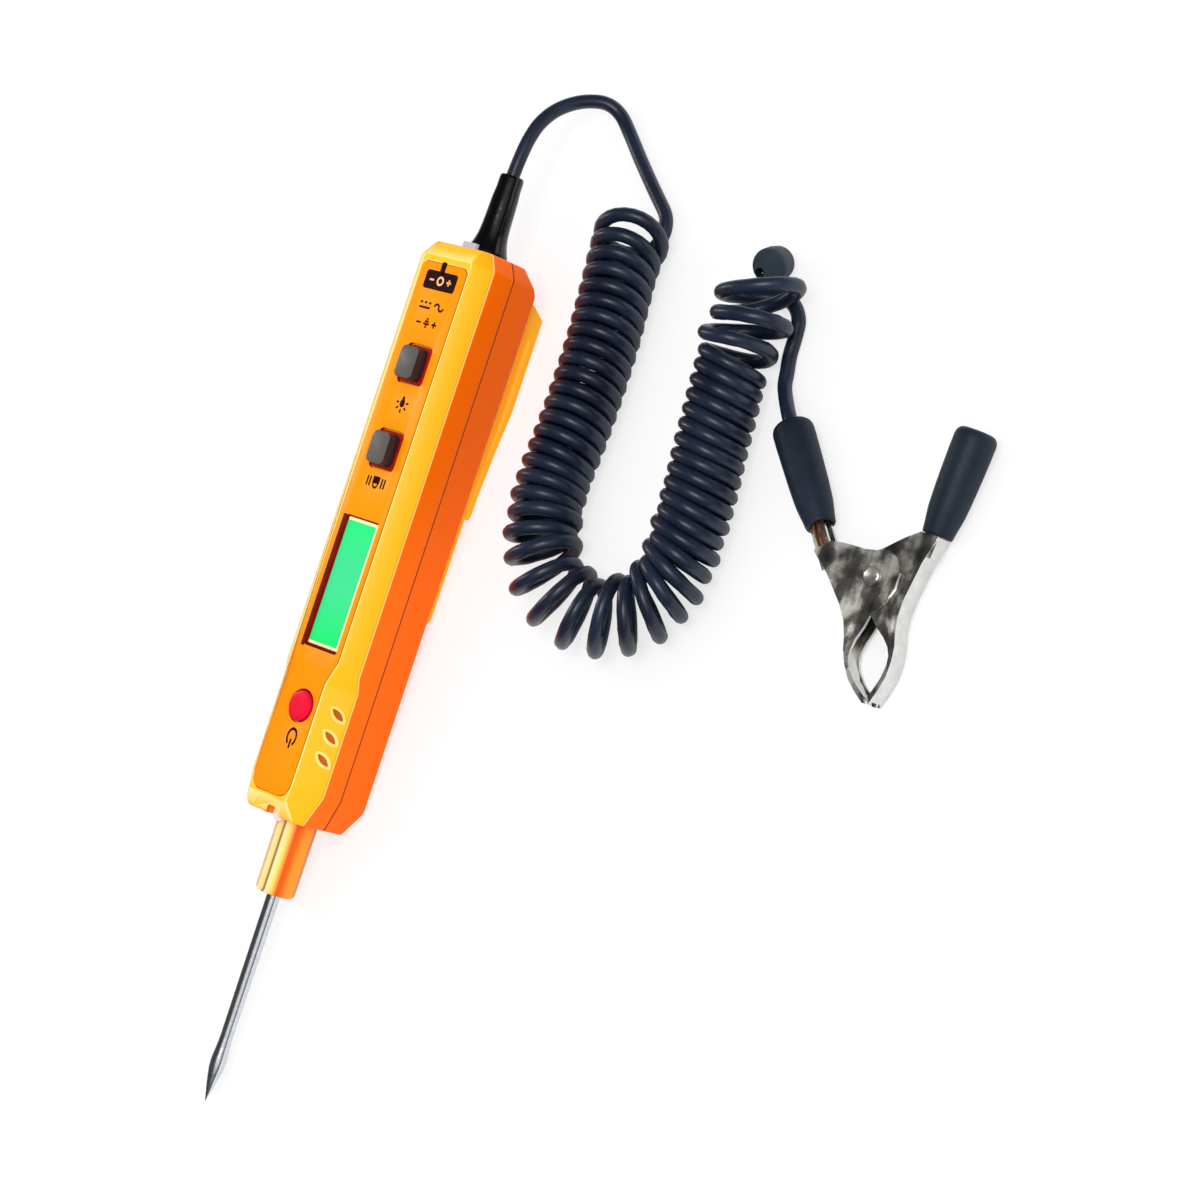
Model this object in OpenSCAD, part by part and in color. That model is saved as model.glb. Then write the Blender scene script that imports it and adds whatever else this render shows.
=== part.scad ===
// Voltage tester probe with a curly earth lead and a crocodile clip.
// Millimetres. The tester lies face up on a table: +Y runs towards the lead, +Z is up.
// Case pieces are drawn in the case's own frame: y = 0 at the nose rim, z = 0 on the seam
// between the shells, +z through the display. lay_down() then rests them on the table.

/* [Case] */
// Length of the case, nose rim to top
case_len = 146; // [140:1:156]
// Width of the case
case_w = 24; // [23.5:0.5:27]
// Seam to the front face
front_depth = 11.5; // [11.4:0.1:12.4]
// Seam to the back face
rear_depth = 10.2; // [10.1:0.1:11.2]
// Thickness of the moulded walls
wall = 1.8; // [1.5:0.1:2]
// Half width of the flat front above the waist
face_half = 7.8; // [7.4:0.1:8.2]
// Half width of the flat front below the waist
grip_face_half = 5.6; // [5.2:0.1:6]
// Drop of the front bevels above the waist
bevel_drop = 4.2; // [3.6:0.1:4.6]
// Drop of the front bevels below the waist
grip_bevel_drop = 5.4; // [5:0.1:5.8]

/* [Face] */
// Thickness of the face panel
panel_t = 1; // [0.8:0.1:1.1]
// Display window, along the case
window_len = 33.2; // [30:0.2:34]
// Display window, across the case
window_w = 11.4; // [10:0.2:12]
// Middle of the display window
window_y = 58.6; // [57:0.2:60]
// Middle of the torch key
light_key_y = 114.8; // [113:0.2:117]
// Middle of the hold key
hold_key_y = 93; // [91:0.2:95]
// Middle of the power key
power_key_y = 27.5; // [26:0.5:29]
// Diameter of the power key
power_key_d = 7.6; // [7:0.2:8]
// Travel of every key
key_travel = 0.5; // [0.3:0.1:0.5]

/* [Probe] */
// Length of the needle beyond the nozzle
needle_len = 53.5; // [40:0.5:70]
// Diameter of the needle
needle_d = 3.5; // [3:0.1:3.6]
// Length of the nozzle beyond the nose rim
nozzle_len = 19; // [14:0.2:24]
// Diameter of the nozzle at the nose
nozzle_d = 10.2; // [9.8:0.1:10.2]

/* [Pocket clip] */
// Seam to the outer face of the pocket clip
clip_depth = 16; // [15.6:0.1:16.6]
// Width of the pocket clip
clip_w = 19.6; // [14:0.2:20]
// Thickness of the pocket clip's arm
clip_t = 2; // [1.6:0.1:2.2]

/* [Lead] */
// Diameter of the lead
lead_d = 3.5; // [3:0.1:4]
// Outer diameter of the curly cord
coil_d = 18; // [17:0.5:20]
// Length of the strain relief outside the case
relief_len = 20.7; // [16:0.1:24]

/* [Crocodile clip] */
// Thickness of the pressed sheet
sheet_t = 0.8; // [0.6:0.1:0.9]
// Jaw tip to the pivot pin
jaw_len = 28.5; // [28:0.1:29]
// Diameter of the pivot pin
pin_d = 3.2; // [2.6:0.1:3.4]
// Length of the sleeve that the lead enters
sleeve_len = 27; // [25:0.2:30]
// Length of the other sleeve
blind_sleeve_len = 24.6; // [22:0.2:28]

/* [Hidden] */
$fn = 48;
eps = 0.01;
big = 60;

// Case outline
half_w = case_w / 2;
shoulder = 4.2;
nose_side_y = 8.2;
nose_front_y = 4.6;
rim_front = front_depth - 2.5;
rim_rear = rear_depth - 3.8;
rim_half = half_w - 2.5;
rear_chamfer = 1.5;
waist_low = 34.5;
waist_high = 40.5;
grip_angle = atan2(grip_bevel_drop, half_w - grip_face_half);
face_angle = atan2(bevel_drop, half_w - face_half);

// Face stack, seam to each level
front_wall = 2.2;
inner_front = front_depth - front_wall;
panel_floor = front_depth - panel_t;
window_top = front_depth - 0.6;
window_t = 1;
lcd_top = inner_front - 0.1;
lcd_t = 2.1;
backlight_t = 2.3;
board_top = 4.6;
board_t = 1.6;
board_low_y = 22;
board_high_y = 130.6;
board_half = 9.4;
key_w = 6.7;
key_l = 8.2;
key_gap = 0.15;
well_w = 8.6;
well_l = 9.9;
square_key_top = front_depth + 2.8;
round_key_top = front_depth + 0.8;
flange_t = 0.7;
flange_top = inner_front - 0.1;
switch_top = 7;
plunger_low = switch_top + key_travel + 0.1;

// Nose
nozzle_end_d = nozzle_d - 0.2;
led_z = 6.9;
led_r = 1.5;
scoop_r = 2.9;
scoop_y = 2.2;
nose_screw_x = 6.6;
nose_screw_y = 11.5;
slot_ys = [16.8, 22.5, 28.3];

// Batteries and door
cell_r = 5.2;
cell_len = 44.5;
cell_z = -rear_depth + wall + cell_r + 0.05;
cell_1_y = 35.7;
cell_2_y = cell_1_y + cell_len;
plate_wall_y = 33;
spring_wall_y = 130.5;
rib_t = 1.2;
bay_low_y = 60;
bay_high_y = 126;
bay_half = 6.5;
door_low_y = 55.6;
door_high_y = 138.7;
door_half = 10.4;
land_depth = rear_depth + 1.2;
clip_root_y = 129.8;
clip_bend_y = 112;
clip_tip_y = 83;
door_screw_y = 134;
screw_r = 1.25;
head_r = 2.1;
boss_r = 2.4;

// Rest on the table: the pocket clip's bend and the nose edge touch it
rest_angle = atan((clip_depth - rear_depth) / (clip_bend_y - nose_side_y));
rest_lift = rear_depth * cos(rest_angle) - nose_side_y * sin(rest_angle);
needle_tip_y = -nozzle_len - needle_len;
relief_tip_y = case_len + relief_len;
relief_tip_r = 2.8;
mid_y = (needle_tip_y * cos(rest_angle)
    + relief_tip_y * cos(rest_angle) + relief_tip_r * sin(rest_angle)) / 2;

// Lead from the strain relief, on the table from its tenth point, under the coil's first turn
relief_tip = [
    0,
    relief_tip_y * cos(rest_angle) - mid_y,
    relief_tip_y * sin(rest_angle) + rest_lift
];
lead_r = lead_d / 2;
floor_z = 1.8;
lead_start_route = [
    relief_tip, [0.2, 124, 19.1], [0.2, 129, 18.6], [0.3, 134, 17.2], [1.2, 138.5, 14.8],
    [3, 142, 11.8], [5.6, 144.4, 8.6], [8.6, 145.3, 5.6], [11.8, 143.8, 3.2],
    [16, 139.7, 1.9], [22, 134.2, floor_z], [29, 128, floor_z], [34.5, 123.2, 1.9],
    [37, 119.8, 2.4], [37.2, 116.5, 2.8]
];

// Middle line of the curly cord: down one leg, round the bend and up the other
coil_z = coil_d / 2;
coil_route = [
    [33.5, 116.3, coil_z], [34.7, 107.5, coil_z], [36, 97.5, coil_z], [37, 87.7, coil_z],
    [37.8, 77.7, coil_z], [38.7, 67.8, coil_z], [39.1, 59.8, coil_z], [39.5, 51.8, coil_z],
    [41, 43.9, coil_z], [44.4, 36, coil_z], [50.4, 29.5, coil_z], [57.8, 25.5, coil_z],
    [66.3, 25, coil_z], [74.3, 27.5, coil_z], [80.3, 33, coil_z], [83.4, 41, coil_z],
    [84.4, 50, coil_z], [84, 59, coil_z], [82.5, 67.9, coil_z], [81.6, 76.9, coil_z],
    [80.6, 85.8, coil_z], [80, 93.8, coil_z], [80, 101, coil_z], [80.2, 107, coil_z]
];

// Bead that ends the coil, leaning back from its last turn
bead_r = 4.3;
bead_len = 6.5;
bead_at = [79, 113.4, 8];
bead_turn = -53;
bead_lean = 32;

// Crocodile clip: x across, y from the jaw tip to the handles, z = 0 at mid thickness.
// It rests on its lower cheek and its sleeves, so it is tipped by croc_tilt.
croc_at = [146.9, 24.3, 3];
croc_turn = 18.9;
croc_tilt = 1.9;
cheek_out = 3;
cheek_in = 1.3;
handle_foot = [-13.95, 35.75];
handle_turn = 22;
lead_sleeve_slip = 7.1;
blind_sleeve_slip = 1.1;
sleeve_foot_r = 3.5;
sleeve_low_r = 4.3;
sleeve_top_r = 4.85;
sleeve_bore_r = 2.8;
tongue_half = 1.9;
tongue_len = 24;
back_edge = [
    [-0.9, 0.5], [-2.6, 2.6], [-4.6, 5.6], [-5.9, 9.2], [-6.4, 12.4], [-6.4, 15.5],
    [-6.8, 19], [-8.2, 22.9], [-12.3, 30.6], [-15.2, 34.6], [-16.1, 36]
];
front_edge = [
    [-11.6, 37.7], [-8.1, 36.9], [-5, 35.9], [-2.2, 34.9], [1, 34.3], [4.2, 34],
    [6.5, 31.9], [7.2, 28.5], [6.1, 25], [3.2, 21.6]
];
lens_edge = [
    [0.3, 20], [-1.5, 17], [-3.4, 14.6], [-4.6, 12.4], [-5, 10.4], [-4.6, 8.2],
    [-3.2, 5.4], [-1.2, 2.8]
];
jaw_tip = [[-0.1, 1.5], [-0.1, 0], [-0.6, 0.1]];

function croc_place_point(p) =
    let (
        y = p[1] * cos(croc_tilt) - p[2] * sin(croc_tilt),
        z = p[1] * sin(croc_tilt) + p[2] * cos(croc_tilt)
    )
    [
        p[0] * cos(croc_turn) - y * sin(croc_turn),
        p[0] * sin(croc_turn) + y * cos(croc_turn),
        z
    ];

handle_dir = [-sin(handle_turn), cos(handle_turn), 0];
sleeve_top = croc_at + croc_place_point(
    [handle_foot[0], handle_foot[1], 0] + (lead_sleeve_slip + sleeve_len) * handle_dir
);
exit_dir = croc_place_point(handle_dir);

// Lead from the coil's last turn to the crocodile clip's sleeve
lead_end_route = [
    [85.6, 99.5, 2], [86.9, 95.8, floor_z], [88.7, 91.2, floor_z], [91.2, 87, 2.6],
    [94.6, 83.8, 4.2], sleeve_top + 3 * exit_dir, sleeve_top - 1.2 * exit_dir
];

// Curves swept from a list of points

function unit(v) = v / norm(v);

function run_dir(path, i) =
    unit(path[min(i + 1, len(path) - 1)] - path[max(i - 1, 0)]);

function ring(path, i, r, sides, side_ref) =
    let (
        along = run_dir(path, i),
        across = unit(cross(along, side_ref)),
        over = cross(across, along)
    )
    [
        for (k = [0 : sides - 1])
            path[i] + r * (cos(360 * k / sides) * over + sin(360 * k / sides) * across)
    ];

// Round tube along a path. side_ref is any direction that the path never runs along.
module swept_tube(path, r, sides, side_ref) {
    n = len(path);
    points = [for (i = [0 : n - 1]) each ring(path, i, r, sides, side_ref)];
    walls = [
        for (i = [0 : n - 2])
            for (k = [0 : sides - 1])
                let (a = i * sides + k, b = i * sides + (k + 1) % sides)
                    each [[a, b + sides, b], [a, a + sides, b + sides]]
    ];
    foot = [for (k = [0 : sides - 1]) k];
    head = [for (k = [sides - 1 : -1 : 0]) (n - 1) * sides + k];
    polyhedron(points = points, faces = concat([foot], walls, [head]), convexity = 6);
}

function helix(r, turns, rise, steps) = [
    for (i = [0 : round(turns * steps)])
        let (a = 360 * i / steps)
            [r * cos(a), r * sin(a), rise * i / (turns * steps)]
];

// Flat shapes

module rounded_rect(w, l, r) {
    square([w - 2 * r, l], center = true);
    square([w, l - 2 * r], center = true);
    for (x = [-1, 1])
        for (y = [-1, 1])
            translate([x * (w / 2 - r), y * (l / 2 - r)]) circle(r);
}

// Pointed oval between two arcs
module lens(l, w) {
    r = (l * l + w * w) / (4 * w);
    intersection() {
        translate([r - w / 2, 0]) circle(r);
        translate([w / 2 - r, 0]) circle(r);
    }
}

// Outline of the face panel, waisted, with a round lower end
module panel_outline(gap) {
    top = case_len - shoulder - 1.5 + gap;
    wide = face_half - 0.3 + gap;
    narrow = grip_face_half - 0.3 + gap;
    low = nose_front_y + 0.5 - gap;
    end_r = 3.5;
    polygon([
        [-narrow, low + end_r], [narrow, low + end_r], [narrow, waist_low],
        [wide, waist_high], [wide, top - 1.2], [wide - 1.2, top],
        [1.2 - wide, top], [-wide, top - 1.2], [-wide, waist_high], [-narrow, waist_low]
    ]);
    translate([0, low + end_r / 2 + eps])
        square([2 * (narrow - end_r), end_r + 2 * eps], center = true);
    for (x = [-1, 1])
        translate([x * (narrow - end_r), low + end_r]) circle(end_r);
}

// Case body

module lay_down() {
    translate([0, -mid_y, rest_lift]) rotate([rest_angle, 0, 0]) children();
}

// Extrudes a (y, z) profile across the case
module across_case(width) {
    rotate([90, 0, 90]) linear_extrude(height = width, center = true) children();
}

// Cuts along one front bevel. profile holds [y, height above the bevel's plane] points.
module bevel_cut(x, angle, profile) {
    translate([x, 0, front_depth]) rotate([0, angle, 0]) across_case(big)
        polygon(concat(profile, [[profile[len(profile) - 1][0], 20], [profile[0][0], 20]]));
}

// Outer form of the case, shrunk by inset on every side
module case_form(inset) {
    f = front_depth - inset;
    b = rear_depth - inset;
    s = half_w - inset;
    low = inset;
    high = case_len - inset;
    difference() {
        intersection() {
            across_case(2 * big) polygon([
                [low, rim_front - inset], [nose_front_y, f], [case_len - shoulder, f],
                [high, f - 2.5], [high, 5 - b], [case_len - 4, 2.4 - b],
                [case_len - 7.5, -b], [nose_side_y, -b], [low, inset - rim_rear]
            ]);
            translate([0, 0, -big]) linear_extrude(height = 2 * big) polygon([
                [inset - rim_half, low], [rim_half - inset, low], [s, nose_side_y],
                [s, case_len - shoulder], [s - 2.7, high], [2.7 - s, high],
                [-s, case_len - shoulder], [-s, nose_side_y]
            ]);
            translate([0, case_len + 10, 0]) rotate([90, 0, 0])
                linear_extrude(height = case_len + 20) polygon([
                    [-face_half + 0.4 * inset, f], [face_half - 0.4 * inset, f],
                    [s, front_depth - bevel_drop - 0.4 * inset], [s, rear_chamfer - b],
                    [s - rear_chamfer, -b], [rear_chamfer - s, -b], [-s, rear_chamfer - b],
                    [-s, front_depth - bevel_drop - 0.4 * inset]
                ]);
        }
        for (side = [0, 1])
            mirror([side, 0, 0]) {
                bevel_cut(grip_face_half, grip_angle, [
                    [-10, -1.5 - inset], [nose_side_y + 0.6, -inset], [waist_low, -inset],
                    [waist_high, 1.5 - inset]
                ]);
                bevel_cut(face_half, face_angle, [
                    [case_len - shoulder, -inset], [case_len + 5, -5 - inset]
                ]);
            }
    }
}

module cavity() {
    intersection() {
        case_form(wall);
        translate([-big / 2, 0, -big / 2]) cube([big, case_len, big / 2 + inner_front]);
    }
}

module along_y(y, z, x = 0) {
    translate([x, y, z]) rotate([-90, 0, 0]) children();
}

module sound_slots(low, high, l, w) {
    translate([grip_face_half, 0, front_depth]) rotate([0, grip_angle, 0])
        for (y = slot_ys)
            translate([5.4, y, low]) rotate([0, 0, 55])
                linear_extrude(height = high - low) lens(l, w);
}

module key_openings(z, h, gap) {
    for (y = [light_key_y, hold_key_y])
        translate([0, y, z]) linear_extrude(height = h)
            rounded_rect(key_w + 2 * gap, key_l + 2 * gap, 1.4);
    translate([0, power_key_y, z]) cylinder(h = h, d = power_key_d + 2 * gap);
}

module front_shell() {
    color("orange") lay_down() difference() {
        union() {
            difference() {
                intersection() {
                    case_form(0);
                    translate([-big / 2, -1, 0]) cube([big, case_len + 2, big / 2]);
                }
                cavity();
            }
            // Pads round the sound slots
            sound_slots(-1, 0.45, 5.8, 3.2);
            // Seat of the torch lamp
            translate([-3, 1, 5.3]) cube([6, 3, 4]);
            // Screw posts
            for (x = [-nose_screw_x, nose_screw_x])
                translate([x, nose_screw_y, 0.05]) cylinder(h = 8.6, r = boss_r);
            translate([0, door_screw_y, 0.1 - rear_depth + wall])
                cylinder(h = rear_depth - wall + inner_front, r = 2.2);
            // Posts that hold the board down
            for (x = [-8.4, 8.4])
                for (y = [37, 80, 124])
                    translate([x, y, board_top + 0.02]) cylinder(h = 3, r = 1.1);
        }
        // Recess of the face panel
        translate([0, 0, panel_floor]) linear_extrude(height = 5) panel_outline(0.12);
        // Window: a ledge for the lens and the view of the display
        translate([0, window_y, window_top - window_t]) linear_extrude(height = 5)
            square([window_w + 0.2, window_len + 0.2], center = true);
        translate([0, window_y, inner_front - 1]) linear_extrude(height = 5)
            square([window_w - 1.4, window_len - 1.6], center = true);
        key_openings(inner_front - 1, 5, key_gap);
        // Nose: nozzle, lamp and its scoop
        along_y(-1, 0) cylinder(h = wall + 1.5, d = nozzle_d + 0.1);
        along_y(-1, led_z + 0.6) cylinder(h = 1 + scoop_y, r = scoop_r);
        along_y(-1, led_z) cylinder(h = 6, r = led_r + 0.05);
        // Lead exit
        along_y(case_len - wall - 1.2, 0) cylinder(h = wall + 2.2, r = 4.5);
        sound_slots(-3, 2, 3.9, 1.5);
        for (x = [-nose_screw_x, nose_screw_x])
            translate([x, nose_screw_y, -1]) cylinder(h = 7, r = screw_r + 0.02);
        translate([0, door_screw_y, -rear_depth]) cylinder(h = 14, r = screw_r + 0.02);
    }
}

module rear_shell() {
    color("darkorange") lay_down() difference() {
        union() {
            difference() {
                intersection() {
                    case_form(0);
                    translate([-big / 2, -1, -big / 2]) cube([big, case_len + 2, big / 2]);
                }
                cavity();
            }
            for (x = [-nose_screw_x, nose_screw_x])
                translate([x, nose_screw_y, -rear_depth + 0.5])
                    cylinder(h = rear_depth - 0.5, r = boss_r);
            // Walls behind the battery contacts
            for (y = [plate_wall_y, spring_wall_y])
                translate([-6, y, 0.5 - rear_depth]) cube([12, rib_t, rear_depth - 1]);
            // Ribs that carry the board
            for (x = [-10.1, 8.5])
                for (y = [37, 80, 124])
                    translate([x, y - rib_t / 2, 0.5 - rear_depth])
                        cube([1.6, rib_t, rear_depth - 0.5 + board_top - board_t]);
            // Wall behind the nozzle's flange
            translate([-8, 4.1, 1 - rear_depth]) cube([16, rib_t, rear_depth - 1]);
        }
        along_y(-1, 0) cylinder(h = wall + 2.4, d = nozzle_d + 0.1);
        along_y(3, 0) cylinder(h = 3, d = nozzle_d + 0.1);
        along_y(case_len - wall - 1.2, 0) cylinder(h = wall + 2.2, r = 4.5);
        // Battery bay and the notches for the door's hooks
        translate([-bay_half, bay_low_y, -rear_depth - 1])
            cube([2 * bay_half, bay_high_y - bay_low_y, wall + 1.5]);
        for (x = [-nose_screw_x, nose_screw_x])
            translate([x, nose_screw_y, -rear_depth - 1]) {
                cylinder(h = rear_depth + 2, r = screw_r + 0.1);
                cylinder(h = 3.6, r = head_r + 0.15);
            }
        translate([0, door_screw_y, -rear_depth - 1]) cylinder(h = 4, r = screw_r + 0.1);
    }
}

module face_panel() {
    color("gold") lay_down() difference() {
        translate([0, 0, panel_floor]) linear_extrude(height = panel_t) panel_outline(0);
        translate([0, window_y, 0]) linear_extrude(height = big)
            square([window_w + 0.2, window_len + 0.2], center = true);
        for (y = [light_key_y, hold_key_y])
            translate([0, y, 0]) linear_extrude(height = big)
                rounded_rect(well_w, well_l, 1.2);
        translate([0, power_key_y, 0]) cylinder(h = big, d = power_key_d + 0.8);
    }
}

// Nose

module nozzle() {
    color("orange") lay_down() difference() {
        union() {
            along_y(0, 0) cylinder(h = 8, d = nozzle_d);
            along_y(-nozzle_len, 0) rotate_extrude() polygon([
                [0, 0], [nozzle_end_d / 2 - 1.2, 0], [nozzle_end_d / 2 - 0.35, 0.35],
                [nozzle_end_d / 2, 1.2], [nozzle_d / 2, nozzle_len], [0, nozzle_len]
            ]);
            // Ears held between the nose and the wall behind it
            intersection() {
                along_y(wall + 0.1, 0) cylinder(h = 2, r = 6.6);
                cube([big, big, nozzle_d - 1.2], center = true);
            }
        }
        along_y(-nozzle_len - 1, 0) cylinder(h = nozzle_len + 12, d = needle_d + 0.04);
    }
}

module probe_needle() {
    r = needle_d / 2;
    color("silver") lay_down() along_y(needle_tip_y, 0) rotate_extrude() polygon([
        [0, 0], [0.45, 1.6], [1.35, 5.4], [1.95, 8.6], [2.05, 10.4], [1.9, 12.6],
        [r - 0.15, 17], [r, needle_len - 6], [r, needle_len + nozzle_len + 8.4],
        [0, needle_len + nozzle_len + 8.4]
    ]);
}

module needle_contact() {
    color("goldenrod") lay_down() {
        along_y(8.45, 0) cylinder(h = 1.5, r = 2.3);
        across_case(3) polygon([
            [9.6, -0.5], [10.2, -0.5], [23.5, 2.55], [25, 2.6], [25, 3], [23.3, 3], [9.6, 0]
        ]);
    }
}

module torch_led() {
    color("ivory") lay_down() {
        along_y(0.3, led_z) cylinder(h = 3.8, r = led_r);
        along_y(0.3, led_z) intersection() {
            sphere(led_r);
            translate([0, 0, -big / 2]) cube(big, center = true);
        }
        along_y(4.05, led_z) cylinder(h = 0.9, r = led_r + 0.2);
        for (x = [-1.27, 1.27]) {
            along_y(4.9, led_z - 1, x) cylinder(h = 18.6, r = 0.3, $fn = 16);
            translate([x, 23.2, board_top]) cylinder(h = led_z - 1 - board_top, r = 0.3, $fn = 16);
        }
    }
}

// Display and board

module lcd_window() {
    color("lightcyan") lay_down() translate([0, window_y, window_top - window_t + eps])
        linear_extrude(height = window_t - eps) square([window_w, window_len], center = true);
}

module lcd_glass() {
    color("mediumspringgreen") lay_down() translate([-7, window_y - 19.5, lcd_top - lcd_t])
        cube([14, 37, lcd_t]);
}

module backlight() {
    color("white") lay_down()
        translate([-7, window_y - 16.5, lcd_top - lcd_t - backlight_t])
            cube([14, 34, backlight_t - eps]);
}

module zebra_strip() {
    color("dimgray") lay_down() translate([-6.5, window_y - 19.2, board_top + eps])
        cube([13, 2.2, lcd_top - lcd_t - board_top - 2 * eps]);
}

module circuit_board() {
    color("darkgreen") lay_down() difference() {
        translate([-board_half, board_low_y, board_top - board_t])
            cube([2 * board_half, board_high_y - board_low_y, board_t]);
        for (x = [-3, 3])
            translate([x, board_high_y - 3, 0]) cylinder(h = big, r = 0.7);
    }
}

module meter_chip() {
    color("black") lay_down() translate([-3.5, 81, board_top + eps]) cube([7, 7, 1.4]);
}

module buzzer() {
    color("black") lay_down() translate([4.8, 29.3, board_top - board_t - 3.2]) difference() {
        cylinder(h = 3.2 - eps, r = 4.2);
        translate([0, 0, -1]) cylinder(h = 1.6, r = 0.9);
    }
}

module tact_switch(y) {
    color("dimgray") lay_down() translate([0, y, board_top + eps]) {
        translate([-3, -3, 0]) cube([6, 6, 1.7]);
        cylinder(h = switch_top - board_top - eps, r = 1.5);
    }
}

module light_switch() { tact_switch(light_key_y); }
module hold_switch() { tact_switch(hold_key_y); }
module power_switch() { tact_switch(power_key_y); }

// Keys

module square_key(y) {
    color("dimgray") lay_down() translate([0, y, 0]) {
        translate([0, 0, flange_top - eps])
            linear_extrude(height = square_key_top - flange_top - 0.4 + eps)
                rounded_rect(key_w, key_l, 1.3);
        translate([0, 0, square_key_top - 0.4 - eps]) linear_extrude(height = 0.4 + eps)
            rounded_rect(key_w - 0.6, key_l - 0.6, 1.1);
        translate([0, 0, flange_top - flange_t]) linear_extrude(height = flange_t)
            rounded_rect(key_w + 1.4, key_l + 1.4, 1.6);
        translate([0, 0, plunger_low]) cylinder(h = flange_top - plunger_low, r = 1.4);
    }
}

module light_key() { square_key(light_key_y); }
module hold_key() { square_key(hold_key_y); }

module power_key() {
    r = power_key_d / 2;
    color("crimson") lay_down() translate([0, power_key_y, 0]) rotate_extrude() polygon([
        [0, plunger_low], [1.4, plunger_low], [1.4, flange_top - flange_t],
        [r + 0.8, flange_top - flange_t], [r + 0.8, flange_top], [r, flange_top],
        [r, round_key_top - 0.6], [r - 0.25, round_key_top - 0.25],
        [r - 0.8, round_key_top - 0.05], [r - 1.6, round_key_top], [0, round_key_top]
    ]);
}

// Batteries, door and screws

module cell(y) {
    color("slategray") lay_down() along_y(y, cell_z) rotate_extrude() polygon([
        [0, 0], [1.9, 0], [1.9, 0.8], [4.6, 0.8], [cell_r, 1.4], [cell_r, cell_len - 0.4],
        [4.4, cell_len - 0.02], [0, cell_len - 0.02]
    ]);
}

module battery_1() { cell(cell_1_y); }
module battery_2() { cell(cell_2_y); }

module battery_plate() {
    color("silver") lay_down() {
        translate([-4, plate_wall_y + rib_t + eps, 2 - rear_depth]) cube([8, 0.5, rear_depth - 1.5]);
        translate([-2, plate_wall_y + rib_t + eps, 0]) cube([4, 0.5, board_top - board_t - eps]);
        along_y(plate_wall_y + rib_t + 0.4, cell_z)
            cylinder(h = cell_1_y - plate_wall_y - rib_t - 0.42, r = 1.6);
    }
}

module battery_spring() {
    y = cell_2_y + cell_len + 0.5;
    steps = 12;
    turns = 3;
    coil = [
        for (i = [0 : turns * steps])
            let (a = 360 * i / steps, t = i / (turns * steps))
                [
                    (2.2 + 2 * t) * cos(a),
                    y + 0.1 + (spring_wall_y - y - 0.9) * t,
                    cell_z + (2.2 + 2 * t) * sin(a)
                ]
    ];
    color("silver") lay_down() {
        swept_tube(coil, 0.4, 6, [0, 1, 0]);
        translate([-4.6, spring_wall_y - 0.52, 2 - rear_depth]) cube([9.2, 0.5, rear_depth - 1.5]);
        translate([-2, spring_wall_y - 0.52, 0]) cube([4, 0.5, board_top - board_t - eps]);
    }
}

module battery_door() {
    color("darkorange") lay_down() difference() {
        union() {
            // Plate on the back and the rim that drops into the bay
            across_case(2 * door_half) polygon([
                [door_low_y, -rear_depth - eps], [door_low_y + 1.2, -land_depth],
                [door_high_y - 1, -land_depth], [door_high_y, -rear_depth - eps]
            ]);
            translate([0.2 - bay_half, bay_low_y + 0.2, -rear_depth - 0.5])
                cube([2 * bay_half - 0.4, bay_high_y - bay_low_y - 0.4, 1.9]);
            // Hooks under the shell's edge
            for (x = [-4.6, 2.2])
                translate([x, bay_low_y - 1.2, -rear_depth + wall + 0.05]) cube([2.4, 2.6, 0.8]);
            for (x = [-4.6, 2.2])
                translate([x, bay_low_y + 0.2, -rear_depth]) cube([2.4, 1.2, wall + 0.4]);
            // Pocket clip: wedge, arm and rounded tip
            across_case(clip_w) polygon([
                [door_high_y - 0.2, -rear_depth - 0.6], [door_high_y - 0.4, -rear_depth - 1.7],
                [door_high_y - 3, -clip_depth], [clip_bend_y, -clip_depth],
                [clip_bend_y - 10, 1.1 - clip_depth], [clip_bend_y - 22, 2.1 - clip_depth],
                [clip_tip_y + 2, 2.2 - clip_depth], [clip_tip_y + 0.4, 2.5 - clip_depth],
                [clip_tip_y, 3.1 - clip_depth], [clip_tip_y + 0.5, 3.6 - clip_depth],
                [clip_tip_y + 2.4, 3.7 - clip_depth],
                [clip_bend_y - 22, 1.6 + clip_t - clip_depth],
                [clip_bend_y - 10, 0.9 + clip_t - clip_depth],
                [clip_bend_y, clip_t - clip_depth], [clip_root_y, clip_t - clip_depth],
                [clip_root_y + 0.8, 0.5 - land_depth], [clip_root_y + 1, -rear_depth - 0.6]
            ]);
        }
        translate([0, door_screw_y, -clip_depth - 1]) {
            cylinder(h = 3.2, r = head_r + 0.15);
            cylinder(h = 10, r = screw_r + 0.1);
        }
        // Room for the cells
        along_y(bay_low_y - 3, cell_z) cylinder(h = bay_high_y - bay_low_y + 6, r = cell_r + 0.06);
    }
}

// Pan-head screw along +z with a cross recess, head underneath
module screw(head_h, length) {
    difference() {
        union() {
            cylinder(h = head_h, r = head_r);
            cylinder(h = length, r = screw_r);
        }
        for (a = [0, 90])
            rotate([0, 0, a]) translate([-1.3, -0.3, -1]) cube([2.6, 0.6, 1.7]);
    }
}

module door_screw() {
    color("silver") lay_down() translate([0, door_screw_y, 0.7 - clip_depth]) screw(1.5, 18);
}

module case_screws() {
    color("silver") lay_down()
        for (x = [-nose_screw_x, nose_screw_x])
            translate([x, nose_screw_y, 1.2 - rear_depth]) screw(1.39, 14);
}

// Lead exit

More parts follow.
